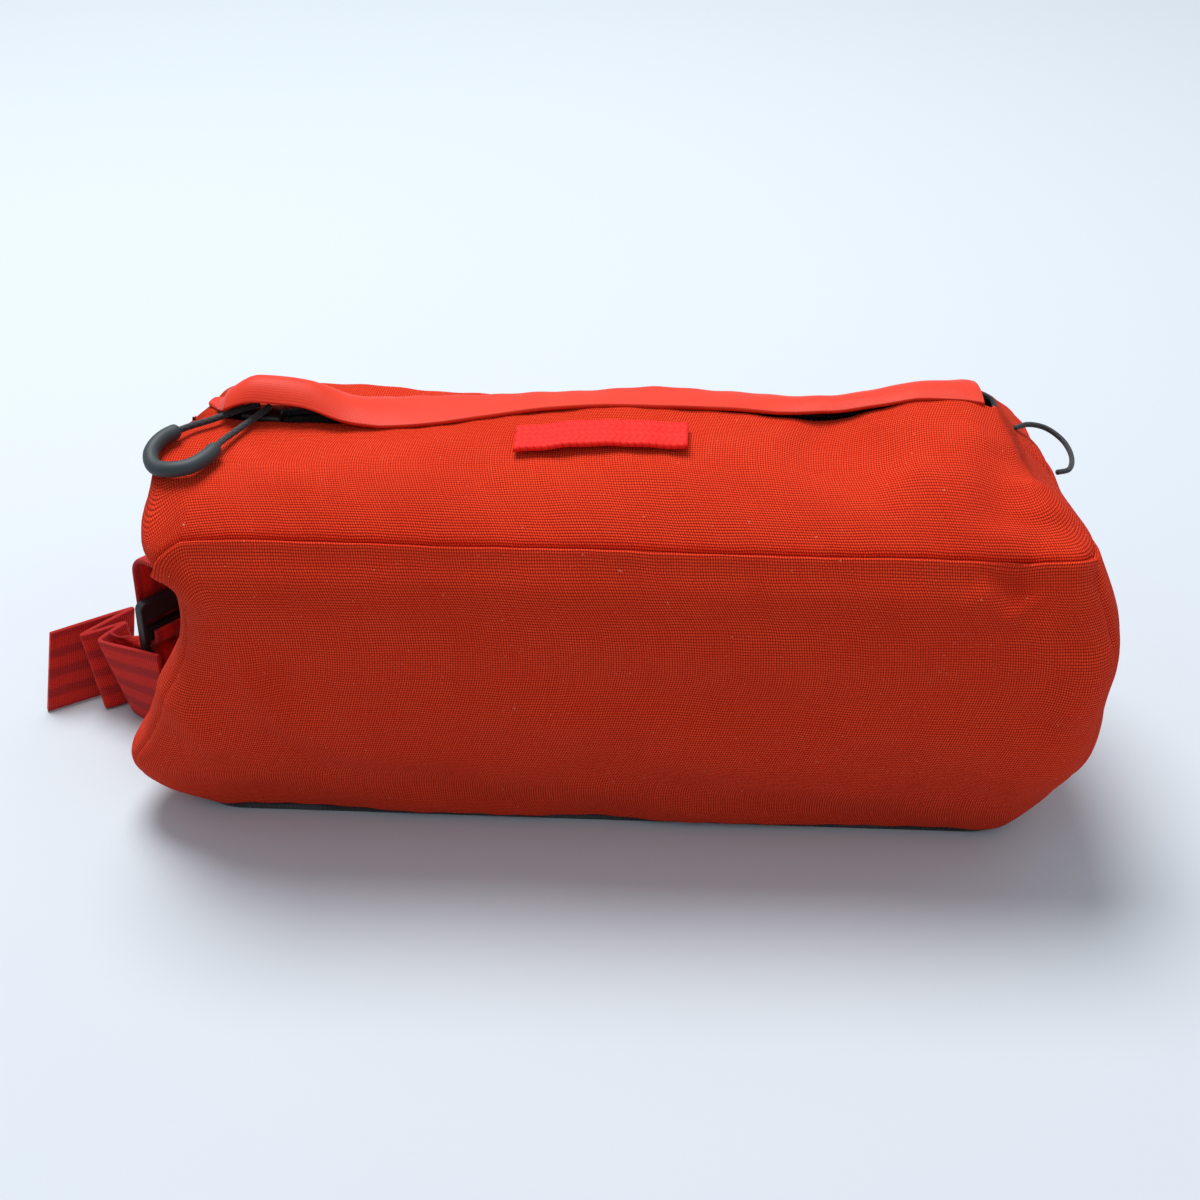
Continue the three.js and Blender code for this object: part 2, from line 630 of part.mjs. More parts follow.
addPiece(bag, 'base_panel', baseGeometry(), darkFabric);
addPiece(body, 'lower_panel', panelGeometry(lowerLeftSeam, lowerRightSeam, 0, seamLevel, seamLap), fabric);
addPiece(body, 'end_panel_right', panelGeometry(lowerRightSeam, backRightSeam, 0, seamLevel, 0), fabric);
addPiece(body, 'back_panel', panelGeometry(backRightSeam, backLeftSeam, 0, seamLevel, 0), fabric);
const leftPanel = panelGeometry(backLeftSeam, lowerLeftSeam + outlineEnd, 0, seamLevel, 0);
addPiece(body, 'end_panel_left', leftPanel, fabric);
const upperPanel = panelGeometry(topLeftSeam - outlineEnd, topRightSeam, seamLevel, zipLevel, 0);
addPiece(body, 'upper_panel', upperPanel, fabric);
addPiece(body, 'top_back_panel', panelGeometry(topRightSeam, topLeftSeam, seamLevel, zipLevel, 0), fabric);
addPiece(body, 'zip_tape_front', tapeGeometry(true), darkFabric);
addPiece(body, 'zip_tape_back', tapeGeometry(false), darkFabric);
addPiece(body, 'zip_teeth', coilGeometry(), darkFabric);
addPiece(body, 'zip_flap', flapGeometry(), coated);
addPiece(body, 'light_loop', lightLoopGeometry(), webbing);

const zipSlider = addPiece(body, 'zip_slider', zipSliderGeometry(), blackPlastic);
const sliderShare = (sliderPlace * halfLength - bodyPoint(0, zipLevel).x)
  / (bodyPoint(1, zipLevel).x - bodyPoint(0, zipLevel).x);
const sliderFoot = zipMiddle(sliderShare);
const coilWay = zipMiddle(sliderShare + probe).sub(zipMiddle(sliderShare - probe));
zipSlider.position.copy(sliderFoot);
zipSlider.position.z += -clothWall - seamGap + tapeThickness / 2 + 2 * seamGap;
zipSlider.rotation.set(0, -Math.atan2(coilWay.z, coilWay.x), Math.atan2(coilWay.y, coilWay.x), 'ZYX');

addPiece(bag, 'strap_anchor', anchorGeometry(), webbing);
addPiece(bag, 'strap_slider', frameGeometry(), blackPlastic);
addPiece(bag, 'strap_loop', strapLoopGeometry(), webbing);
addPiece(bag, 'strap_tail', tailGeometry(), webbing);

const cordPath = new THREE.CatmullRomCurve3(cordRoute, false, 'centripetal');
const gripRoute = steps(gripShares[0], gripShares[1], gripSteps).map((share) => cordPath.getPointAt(share));
addPiece(bag, 'zip_pull_cord', tubeGeometry(cordRoute, cordRadius, 0, cordSides, cordSteps), blackPlastic);
addPiece(bag, 'zip_pull_grip', tubeGeometry(gripRoute, gripRadius, gripBore, gripSides, gripSteps), rubber);
const endLoop = tubeGeometry(endLoopRoute, endCordRadius, 0, cordSides, endCordSteps);
addPiece(bag, 'end_loop', endLoop, blackPlastic);

export default bag;
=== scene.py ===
# A small zipped handlebar bag of woven fabric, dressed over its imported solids. Metres, +Z up.
import math
import bpy
import numpy as np
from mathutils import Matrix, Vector


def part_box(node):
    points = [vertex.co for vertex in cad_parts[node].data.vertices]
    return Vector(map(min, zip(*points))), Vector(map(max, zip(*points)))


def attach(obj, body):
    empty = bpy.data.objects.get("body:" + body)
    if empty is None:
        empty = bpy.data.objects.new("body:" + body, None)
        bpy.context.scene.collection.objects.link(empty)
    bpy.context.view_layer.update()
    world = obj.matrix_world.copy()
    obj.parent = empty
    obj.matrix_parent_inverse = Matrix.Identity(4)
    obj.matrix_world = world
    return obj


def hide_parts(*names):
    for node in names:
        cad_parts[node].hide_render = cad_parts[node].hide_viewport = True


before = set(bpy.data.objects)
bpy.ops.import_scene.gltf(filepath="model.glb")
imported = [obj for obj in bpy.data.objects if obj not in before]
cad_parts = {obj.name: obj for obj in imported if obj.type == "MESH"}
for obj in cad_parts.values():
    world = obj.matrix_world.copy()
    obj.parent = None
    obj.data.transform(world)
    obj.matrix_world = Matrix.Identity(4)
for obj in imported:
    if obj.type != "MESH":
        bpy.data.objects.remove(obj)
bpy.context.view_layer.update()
scene = bpy.context.scene

# Camera
VIEW_ELEVATION = math.radians(33)
VIEW_AZIMUTH = math.radians(3)
camera_data = bpy.data.cameras.new("camera")
camera_data.sensor_width = 36
camera_data.lens = 61.56
camera_data.clip_start = 0.02
camera_data.clip_end = 20
camera = bpy.data.objects.new("camera", camera_data)
scene.collection.objects.link(camera)
camera.location = (0.020205, -0.469129, 0.350860)
look = Vector((-math.sin(VIEW_AZIMUTH) * math.cos(VIEW_ELEVATION),
               math.cos(VIEW_AZIMUTH) * math.cos(VIEW_ELEVATION), -math.sin(VIEW_ELEVATION)))
camera.rotation_euler = look.to_track_quat("-Z", "Y").to_euler()
scene.camera = camera
scene.view_settings.view_transform = "Standard"

# Driving sizes, in metres
HALF_LENGTH = 0.110
HALF_DEPTH = 0.040
BAG_HEIGHT = 0.1045
BODY_LIFT = 0.0025
ZIP_SLOT = 0.0065
CLOTH = 0.0012
STRAP_WIDTH = 0.025
STRAP_THICKNESS = 0.0015


# Numbers

def unit(vectors):
    return vectors / np.maximum(np.linalg.norm(vectors, axis=-1, keepdims=True), 1e-12)


def smooth_table(keys, rows, where):
    """Values between the rows of a table, smooth and without overshoot."""
    keys, rows = np.asarray(keys, float), np.asarray(rows, float)
    step = np.diff(keys)[:, None]
    slope = np.diff(rows, axis=0) / step
    before, after = slope[:-1], slope[1:]
    same = before * after > 0
    middle = np.where(same, 2 * before * after / np.where(same, before + after, 1), 0)
    tangent = np.concatenate([slope[:1], middle, slope[-1:]])
    place = np.clip(np.searchsorted(keys, where, side="right") - 1, 0, len(keys) - 2)
    width = step[place]
    t = np.clip((where - keys[place])[..., None] / width, 0, 1)
    return ((1 + 2 * t) * (1 - t) ** 2 * rows[place] + t * (1 - t) ** 2 * width * tangent[place]
            + t * t * (3 - 2 * t) * rows[place + 1] - t * t * (1 - t) * width * tangent[place + 1])


def smoothstep(value, low, high):
    t = np.clip((value - low) / (high - low), 0, 1)
    return t * t * (3 - 2 * t)


def run_length(points):
    """Distance along a line of points, from its first."""
    gaps = np.linalg.norm(np.diff(points, axis=0), axis=1)
    return np.concatenate([[0], np.cumsum(gaps)])


def catmull(points, count, centripetal=True, tension=0.5):
    """A smooth line through points."""
    p = np.asarray(points, float)
    p = np.concatenate([[2 * p[0] - p[1]], p, [2 * p[-1] - p[-2]]])
    found = []
    for where in np.linspace(0, len(p) - 3, count):
        k = min(int(where), len(p) - 4)
        t = where - k
        p0, p1, p2, p3 = p[k:k + 4]
        if centripetal:
            a, b, c = (np.linalg.norm(q) ** 0.5 for q in (p1 - p0, p2 - p1, p3 - p2))
            m1 = ((p1 - p0) / a - (p2 - p0) / (a + b) + (p2 - p1) / b) * b
            m2 = ((p2 - p1) / b - (p3 - p1) / (b + c) + (p3 - p2) / c) * b
        else:
            m1, m2 = tension * (p2 - p0), tension * (p3 - p1)
        found.append((2 * t ** 3 - 3 * t * t + 1) * p1 + (t ** 3 - 2 * t * t + t) * m1
                     + (3 * t * t - 2 * t ** 3) * p2 + (t ** 3 - t * t) * m2)
    return np.array(found)


def even(points, count):
    """The same line with evenly spaced points."""
    along = run_length(points)
    places = np.linspace(0, along[-1], count)
    return np.stack([np.interp(places, along, points[:, k]) for k in range(3)], 1)


def bezier(a, b, c, t):
    t = np.asarray(t)[..., None]
    return a * (1 - t) ** 2 + b * 2 * t * (1 - t) + c * t * t


# Meshes

def add_mesh(name, points, faces, uv, material, slot, replaces=(), thickness=None, smooth=True):
    mesh = bpy.data.meshes.new(name)
    mesh.from_pydata(np.asarray(points).reshape(-1, 3).tolist(), [], [list(map(int, f)) for f in faces])
    layer = mesh.uv_layers.new(name="weave")
    layer.data.foreach_set("uv", np.asarray(uv, np.float32).ravel())
    mesh.polygons.foreach_set("use_smooth", [smooth] * len(mesh.polygons))
    mesh.materials.append(material)
    mesh.update()
    obj = bpy.data.objects.new(name, mesh)
    scene.collection.objects.link(obj)
    if thickness:
        solid = obj.modifiers.new("cloth", "SOLIDIFY")
        solid.thickness = thickness
        solid.offset = -1
    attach(obj, "root")
    if replaces:
        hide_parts(*replaces)
    return obj


def add_grid(name, points, uv, material, slot, closed=False, caps=False, **more):
    """A sheet of quads. Where it is closed, uv has one column more than points."""
    rows, columns = points.shape[:2]
    ids = np.arange(rows * columns).reshape(rows, columns)
    marks = np.arange(uv.shape[0] * uv.shape[1]).reshape(uv.shape[:2])
    if closed:
        ids = np.concatenate([ids, ids[:, :1]], 1)

    def quads(table):
        return np.stack([table[:-1, :-1], table[:-1, 1:], table[1:, 1:], table[1:, :-1]], -1).reshape(-1, 4)

    faces = quads(ids).tolist()
    loops = uv.reshape(-1, 2)[quads(marks).ravel()]
    if caps:
        for row, way in ((0, -1), (rows - 1, 1)):
            ring = list(range(row * columns, (row + 1) * columns))[::way]
            faces.append(ring)
            loops = np.concatenate([loops, uv[row, :columns][::way]])
    return add_mesh(name, points, faces, loops, material, slot, **more)


def sheet_uv(points, middle=None):
    """Lengths along the rows and columns of a sheet, so that a weave keeps its scale."""
    across = np.linalg.norm(np.diff(points, axis=1), axis=2)
    s = np.concatenate([np.zeros((len(points), 1)), np.cumsum(across, axis=1)], 1)
    up = np.linalg.norm(np.diff(points, axis=0), axis=2)
    t = np.concatenate([np.zeros((1, points.shape[1])), np.cumsum(up, axis=0)], 0)
    if middle is None:
        middle = points.shape[1] // 2
    s = s - s[:, middle:middle + 1]
    t = np.broadcast_to(t[:, middle:middle + 1], t.shape)
    return np.stack([s, t], -1)


def tube_frames(path):
    """Two directions square to a line, without twist."""
    along = unit(np.gradient(path, axis=0))
    side = np.cross(along[0], (0.3, 0.2, 1.0))
    sides = []
    for way in along:
        side = side - way * side.dot(way)
        side = side / np.linalg.norm(side)
        sides.append(side)
    sides = np.array(sides)
    return sides, np.cross(along, sides)


def tube(name, path, radius, material, slot, sides=12, closed_ends=True, **more):
    """A round tube whose radius may change along it."""
    path = np.asarray(path)
    radius = np.broadcast_to(np.asarray(radius, float), (len(path),))
    first, second = tube_frames(path)
    angles = np.linspace(0, 2 * math.pi, sides + 1)
    ring = (np.cos(angles)[None, :, None] * first[:, None] + np.sin(angles)[None, :, None] * second[:, None])
    points = path[:, None] + ring * radius[:, None, None]
    along = run_length(path)
    uv = np.stack(np.broadcast_arrays(along[:, None], angles[None] / (2 * math.pi)), -1)
    return add_grid(name, points[:, :-1], uv, material, slot, closed=True, caps=closed_ends, **more)


def band(name, middles, across, thick, width, thickness, material, slot, **more):
    """A flat webbing band with round edges, swept through sections."""
    middles, across, thick = (np.asarray(x, float) for x in (middles, across, thick))
    across, thick = unit(across), unit(thick)
    half, edge = width / 2, thickness / 2
    flat = np.linspace(-half + edge, half - edge, 9)
    bends = np.linspace(-math.pi / 2, math.pi / 2, 5)[1:-1]
    section = [(a, edge) for a in flat]
    section += [(half - edge + edge * math.cos(b), -edge * math.sin(b)) for b in bends]
    section += [(a, -edge) for a in flat[::-1]]
    section += [(-half + edge - edge * math.cos(b), edge * math.sin(b)) for b in bends]
    section = np.array(section)
    points = middles[:, None] + across[:, None] * section[None, :, :1] + thick[:, None] * section[None, :, 1:]
    marks = np.concatenate([section[:, 0], section[:1, 0]])
    uv = np.stack(np.broadcast_arrays(run_length(middles)[:, None], marks[None]), -1)
    return add_grid(name, points, uv, material, slot, closed=True, caps=True, **more)


# Materials

class Paint:
    """A material whose nodes are written as sums."""

    def __init__(self, name, roughness=0.8, **plain):
        self.material = bpy.data.materials.new(name)
        self.material.use_nodes = True
        self.tree = self.material.node_tree
        self.shader = self.tree.nodes["Principled BSDF"]
        self.shader.inputs["Roughness"].default_value = roughness
        for key, value in plain.items():
            self.shader.inputs[key.replace("_", " ")].default_value = value

    def node(self, kind, inputs=(), **props):
        made = self.tree.nodes.new(kind)
        for key, value in props.items():
            setattr(made, key, value)
        for key, value in dict(inputs).items():
            self.put(made.inputs[key], value)
        return made

    def put(self, socket, value):
        if isinstance(value, bpy.types.NodeSocket):
            self.tree.links.new(value, socket)
        else:
            socket.default_value = value

    def math(self, operation, *values):
        return self.node("ShaderNodeMath", dict(enumerate(values)), operation=operation).outputs[0]

    def add(self, a, b):
        return self.math("ADD", a, b)

    def times(self, a, b):
        return self.math("MULTIPLY", a, b)

    def blend(self, share, a, b):
        """Between two numbers."""
        return self.add(self.times(a, self.math("SUBTRACT", 1.0, share)), self.times(b, share))

    def mix(self, share, a, b, mode="MIX"):
        made = self.node("ShaderNodeMix", data_type="RGBA", blend_type=mode)
        self.put(made.inputs[0], share)
        self.put(made.inputs[6], a)
        self.put(made.inputs[7], b)
        return made.outputs[2]

    def ramp(self, value, low, high):
        return self.node("ShaderNodeMapRange", {"Value": value, "From Min": low, "From Max": high},
                         interpolation_type="SMOOTHSTEP").outputs[0]

    def uv(self):
        made = self.node("ShaderNodeUVMap", uv_map="weave")
        parts = self.node("ShaderNodeSeparateXYZ", {0: made.outputs[0]})
        return parts.outputs[0], parts.outputs[1]

    def at(self, x, y, z=0.0):
        return self.node("ShaderNodeCombineXYZ", {0: x, 1: y, 2: z}).outputs[0]

    def noise(self, vector, scale, detail=2.0, roughness=0.5):
        return self.node("ShaderNodeTexNoise", {"Vector": vector, "Scale": scale, "Detail": detail,
                                                "Roughness": roughness}).outputs[0]

    def place(self):
        return self.node("ShaderNodeTexCoord").outputs["Object"]

    def bump(self, height, distance, strength=1.0):
        made = self.node("ShaderNodeBump", {"Height": height, "Distance": distance, "Strength": strength})
        self.put(self.shader.inputs["Normal"], made.outputs[0])

    def colour(self, value):
        self.put(self.shader.inputs["Base Color"], value)


# Pitches of threads, ribs and stitches, in metres
WARP_PITCH = 0.00062
WEFT_PITCH = 0.00078
COATED_PITCH = 0.00034
BASE_PITCH = 0.0007
TAPE_PITCH = 0.0005
RIB_PITCH = 0.00055
STRAP_THREAD = 0.0009
STRIPE_PITCH = 0.0062
LOOP_ROW = 0.00215
LOOP_STITCH = 0.00178
BRAID_PITCH = 0.0022
BRAID_STRANDS = 8
FULL_TURN = 2 * math.pi


def plain_weave(paint, pitch_across, pitch_up, slub=0.3):
    """Height of a plain weave, 0 to 1, and each thread's own shade. Slub is how much threads vary."""
    u, v = paint.uv()
    wander = paint.noise(paint.at(u, v), 60.0, 1.0)
    x = paint.add(paint.math("DIVIDE", u, pitch_across), paint.times(wander, 1.6))
    y = paint.add(paint.math("DIVIDE", v, pitch_up), paint.times(wander, 1.4))
    column, row = paint.math("FLOOR", x), paint.math("FLOOR", y)
    cx = paint.math("COSINE", paint.times(paint.math("SUBTRACT", paint.math("FRACT", x), 0.5), math.pi))
    cy = paint.math("COSINE", paint.times(paint.math("SUBTRACT", paint.math("FRACT", y), 0.5), math.pi))
    over = paint.math("FLOORED_MODULO", paint.add(column, row), 2.0)
    warp = paint.times(cx, paint.add(paint.times(cy, 0.6), 0.4))
    weft = paint.times(cy, paint.add(paint.times(cx, 0.6), 0.4))
    height = paint.blend(over, warp, weft)
    warp_shade = paint.noise(paint.at(paint.times(column, 7.31), paint.times(v, 90.0)), 1.0, 1.0)
    weft_shade = paint.noise(paint.at(paint.times(u, 70.0), paint.times(row, 5.17), 3.0), 1.0, 1.0)
    shade = paint.blend(over, warp_shade, weft_shade)
    fat = paint.add(paint.times(paint.math("SUBTRACT", shade, 0.5), slub * 2), 1.0)
    return paint.times(height, fat), shade


def body_fabric(name):
    paint = Paint(name, 0.86, Sheen_Weight=0.02, Sheen_Roughness=0.5, Specular_IOR_Level=0.06)
    paint.shader.inputs["Sheen Tint"].default_value = (1.0, 0.72, 0.6, 1)
    height, shade = plain_weave(paint, WARP_PITCH, WEFT_PITCH)
    # Painted shade: the gaps between the threads are painted darker than the thread tops.
    painted_gap_shade = paint.ramp(height, 0.1, 0.75)
    dark, light = (0.20, 0.003, 0.001, 1), (0.92, 0.062, 0.018, 1)
    cloth = paint.mix(painted_gap_shade, dark, light)
    cloth = paint.mix(paint.times(paint.ramp(shade, 0.35, 0.7), 0.45), cloth, (0.52, 0.014, 0.004, 1))
    blotch = paint.noise(paint.place(), 38.0, 3.0)
    cloth = paint.mix(paint.times(paint.ramp(blotch, 0.4, 0.75), 0.22), cloth, (0.50, 0.018, 0.005, 1))
    fibre = paint.noise(paint.place(), 900.0, 2.0)
    lint = paint.ramp(fibre, 0.72, 0.80)
    cloth = paint.mix(paint.times(lint, 0.5), cloth, (0.86, 0.36, 0.24, 1))
    paint.colour(cloth)
    rough = paint.add(paint.times(fibre, 0.12), 0.78)
    paint.put(paint.shader.inputs["Roughness"], rough)
    paint.bump(paint.add(height, paint.times(fibre, 0.35)), 0.00022, 0.9)
    return paint.material


def coated_fabric():
    paint = Paint("coated_cloth", 0.46, Specular_IOR_Level=0.22, Sheen_Weight=0.02, Sheen_Roughness=0.3)
    paint.shader.inputs["Sheen Tint"].default_value = (1.0, 0.75, 0.68, 1)
    height, _ = plain_weave(paint, COATED_PITCH, COATED_PITCH, 0.1)
    # Painted shade: the weave's gaps are painted darker than its thread tops.
    cloth = paint.mix(paint.ramp(height, 0.1, 0.8), (0.54, 0.020, 0.006, 1), (0.74, 0.040, 0.011, 1))
    worn = paint.noise(paint.place(), 70.0, 3.0)
    cloth = paint.mix(paint.times(paint.ramp(worn, 0.45, 0.75), 0.25), cloth, (0.78, 0.060, 0.022, 1))
    paint.colour(cloth)
    paint.put(paint.shader.inputs["Roughness"], paint.add(paint.times(worn, 0.2), 0.38))
    paint.bump(paint.add(height, paint.times(worn, 2.0)), 0.00004, 0.8)
    return paint.material


def dark_fabric(name, pitch, light=0.035):
    paint = Paint(name, 0.85, Sheen_Weight=0.15)
    height, _ = plain_weave(paint, pitch, pitch * 1.2)
    # Painted shade: the weave's gaps are painted near black and the thread tops lighter.
    paint.colour(paint.mix(paint.ramp(height, 0.2, 0.9), (0.006, 0.006, 0.007, 1),
                           (light, light * 1.05, light * 1.15, 1)))
    paint.bump(height, 0.0002, 0.9)
    return paint.material


def strap_webbing():
    """Ribs across the strap and darker bands along it."""
    paint = Paint("strap_weave", 0.66, Sheen_Weight=0.05, Sheen_Roughness=0.4, Specular_IOR_Level=0.25)
    u, v = paint.uv()
    wander = paint.noise(paint.at(u, v), 120.0, 1.0)
    rib = paint.math("COSINE", paint.add(paint.times(u, FULL_TURN / RIB_PITCH), paint.times(wander, 3.0)))
    fine = paint.math("COSINE", paint.times(v, FULL_TURN / STRAP_THREAD))
    height = paint.add(paint.times(rib, 0.5), paint.times(fine, 0.25))
    stripe = paint.math("COSINE",
                        paint.add(paint.times(v, FULL_TURN / STRIPE_PITCH), paint.times(wander, 0.9)))
    soft = paint.ramp(stripe, -0.45, 0.75)
    cloth = paint.mix(soft, (0.68, 0.014, 0.004, 1), (0.42, 0.008, 0.006, 1))
    # Painted shade: the troughs between the ribs are painted darker.
    cloth = paint.mix(paint.times(paint.ramp(rib, 0.9, -0.9), 0.35), cloth, (0.30, 0.006, 0.006, 1))
    paint.colour(cloth)
    paint.bump(height, 0.00018, 0.9)
    return paint.material


def loop_webbing():
    """Chunky rows of slanted stitches, whose slant turns from row to row."""
    paint = Paint("loop_weave", 0.6, Sheen_Weight=0.03, Specular_IOR_Level=0.2)
    u, v = paint.uv()
    y = paint.math("DIVIDE", v, LOOP_ROW)
    row = paint.math("FLOOR", y)
    within = paint.math("SUBTRACT", paint.math("FRACT", y), 0.5)
    way = paint.math("SUBTRACT", paint.times(paint.math("FLOORED_MODULO", row, 2.0), 2.0), 1.0)
    x = paint.add(paint.math("DIVIDE", u, LOOP_STITCH), paint.times(paint.times(within, way), 0.75))
    slant = paint.math("ABSOLUTE", paint.math("SINE", paint.times(x, math.pi)))
    rise = paint.math("COSINE", paint.times(within, math.pi * 0.9))
    height = paint.times(paint.math("POWER", slant, 0.6), rise)
    grain = paint.noise(paint.at(u, v), 2500.0, 1.0)
    # Painted shade: the low parts between the stitches are painted darker than their tops.
    cloth = paint.mix(paint.ramp(height, 0.15, 0.8), (0.62, 0.003, 0.001, 1), (0.84, 0.009, 0.002, 1))
    paint.colour(cloth)
    paint.bump(paint.add(height, paint.times(grain, 0.25)), 0.0002, 0.7)
    return paint.material


def moulded(name, colour, roughness):
    paint = Paint(name, roughness, Specular_IOR_Level=0.45)
    grain = paint.noise(paint.place(), 2600.0, 2.0)
    worn = paint.noise(paint.place(), 160.0, 2.0)
    edge = tuple(c * 1.8 for c in colour[:3]) + (1,)
    paint.colour(paint.mix(paint.times(paint.ramp(worn, 0.45, 0.8), 0.4), colour, edge))
    paint.put(paint.shader.inputs["Roughness"], paint.add(paint.times(worn, 0.18), roughness - 0.08))
    paint.bump(grain, 0.00003, 0.7)
    return paint.material


def braid(name):
    """Crossing strands round a cord."""
    paint = Paint(name, 0.7, Sheen_Weight=0.2, Specular_IOR_Level=0.35)
    u, v = paint.uv()
    along = paint.math("DIVIDE", u, BRAID_PITCH)
    turns = paint.times(v, BRAID_STRANDS / 2)
    ways = [paint.math("ABSOLUTE", paint.math("SINE", paint.times(paint.math(way, along, turns), math.pi)))
            for way in ("ADD", "SUBTRACT")]
    height = paint.math("MAXIMUM", *ways)
    # Painted shade: the hollows between the strands are painted darker than the strand tops.
    paint.colour(paint.mix(paint.ramp(height, 0.5, 1.0), (0.010, 0.012, 0.013, 1), (0.022, 0.025, 0.028, 1)))
    paint.bump(height, 0.00012, 0.8)
    return paint.material


FABRIC = body_fabric("body_weave")
COATED = coated_fabric()
BASE_CLOTH = dark_fabric("base_weave", BASE_PITCH)
TAPE = dark_fabric("zip_tape_weave", TAPE_PITCH, 0.02)
WEBBING = strap_webbing()
LOOP = loop_webbing()
CORD = braid("cord_braid")
RUBBER = moulded("grip_rubber_moulded", (0.024, 0.034, 0.038, 1), 0.55)
PLASTIC = moulded("black_plastic_moulded", (0.012, 0.014, 0.016, 1), 0.42)
COIL = moulded("coil_plastic", (0.010, 0.010, 0.012, 1), 0.4)

# Cords

CORD_ROUTE = [
    (-0.0920, -0.0036, 0.1054), (-0.0975, -0.0066, 0.1048), (-0.1025, -0.0108, 0.1045),
    (-0.1086, -0.0170, 0.1050), (-0.1129, -0.0226, 0.1050), (-0.1144, -0.0288, 0.1041),
    (-0.1122, -0.0342, 0.1034), (-0.1078, -0.0364, 0.1040), (-0.1032, -0.0354, 0.1045),
    (-0.0996, -0.0308, 0.1050), (-0.0980, -0.0240, 0.1050), (-0.0956, -0.0170, 0.1045),
    (-0.0920, -0.0100, 0.1048), (-0.0890, -0.0052, 0.1056),
]
GRIP_SHARES = (0.28, 0.72)
CORD_RADIUS = 0.00085
GRIP_RADIUS = 0.0020
pull_path = even(catmull(CORD_ROUTE, 400), 160)
pull_cord = tube("pull_cord", pull_path, CORD_RADIUS, CORD, "cord", 12, replaces=["zip_pull_cord"])
grip_path = pull_path[int(GRIP_SHARES[0] * 159):int(GRIP_SHARES[1] * 159) + 1]
share = np.linspace(0, 1, len(grip_path))
grip_ends = np.clip(np.minimum(share, 1 - share) / 0.035, 0, 1)
grip_radius = GRIP_RADIUS * (0.72 + 0.28 * np.sqrt(1 - (1 - grip_ends) ** 2))
pull_grip = tube("pull_grip", grip_path, grip_radius, RUBBER, "grip_rubber", 20, replaces=["zip_pull_grip"])

END_LOOP_ROUTE = [
    (0.1020, 0.0015, 0.1010), (0.1060, 0.0045, 0.1006), (0.1110, 0.0060, 0.0988), (0.1150, 0.0030, 0.0970),
    (0.1166, -0.0030, 0.0956), (0.1152, -0.0090, 0.0952), (0.1118, -0.0118, 0.0958),
]
END_CORD_RADIUS = 0.0007
end_path = even(catmull(END_LOOP_ROUTE, 200), 70)
end_loop = tube("end_cord", end_path, END_CORD_RADIUS, CORD, "cord", 10, replaces=["end_loop"])

# Body

LEVEL_COLUMNS = ["frontHeight", "backHeight", "front", "back", "leftFront", "leftBack",
                 "rightFront", "rightBack", "frontRound", "backRound", "backSag", "zipShare"]
# Levels from the base to the zip, in shares of the sizes
LEVELS = [
    (0.000, 0.000, -1.00, 1.00, -1.03, -0.92, 0.99, 0.93, 0.30, 0.36, 0, 0),
    (0.080, 0.080, -1.10, 1.04, -1.14, -0.98, 1.06, 0.96, 0.42, 0.42, 0, 0),
    (0.170, 0.170, -1.22, 1.07, -1.18, -0.985, 1.11, 0.98, 0.48, 0.46, 0, 0),
    (0.280, 0.280, -1.34, 1.09, -1.13, -1.00, 1.15, 1.00, 0.50, 0.48, 0, 0),
    (0.420, 0.420, -1.42, 1.09, -1.07, -0.98, 1.17, 1.02, 0.50, 0.48, 0, 0),
    (0.560, 0.550, -1.44, 1.08, -1.02, -0.96, 1.18, 1.02, 0.50, 0.46, 0, 0),
    (0.680, 0.660, -1.43, 1.05, -1.01, -0.95, 1.16, 1.00, 0.48, 0.46, 0.01, 0),
    (0.770, 0.750, -1.40, 1.02, -1.05, -0.96, 1.13, 0.98, 0.44, 0.44, 0.02, 0),
    (0.825, 0.815, -1.33, 0.98, -1.07, -0.96, 1.11, 0.96, 0.40, 0.42, 0.04, 0),
    (0.855, 0.860, -1.25, 0.92, -1.07, -0.95, 1.10, 0.94, 0.36, 0.40, 0.06, 0),
    (0.915, 0.905, -1.08, 0.82, -1.06, -0.93, 1.03, 0.90, 0.34, 0.38, 0.07, 0.05),
    (0.953, 0.935, -0.92, 0.68, -1.06, -0.93, 0.98, 0.88, 0.30, 0.32, 0.06, 0.20),
    (0.981, 0.960, -0.73, 0.48, -1.06, -0.93, 0.95, 0.88, 0.24, 0.22, 0.05, 0.50),
    (0.998, 0.982, -0.40, 0.27, -1.02, -0.93, 0.91, 0.88, 0.14, 0.12, 0.035, 0.85),
    (1.000, 1.000, 0, 0, -0.93, -0.93, 0.87, 0.87, 0.04, 0.04, 0, 1),
]
SEAM_LEVEL = 9
ZIP_LEVEL = len(LEVELS) - 1
CORNER_SHARE = 0.45
BACK_SAG_REACH = 0.3
SEAM_DROP = 1.9
SEAM_DROP_SPREAD = 2.2
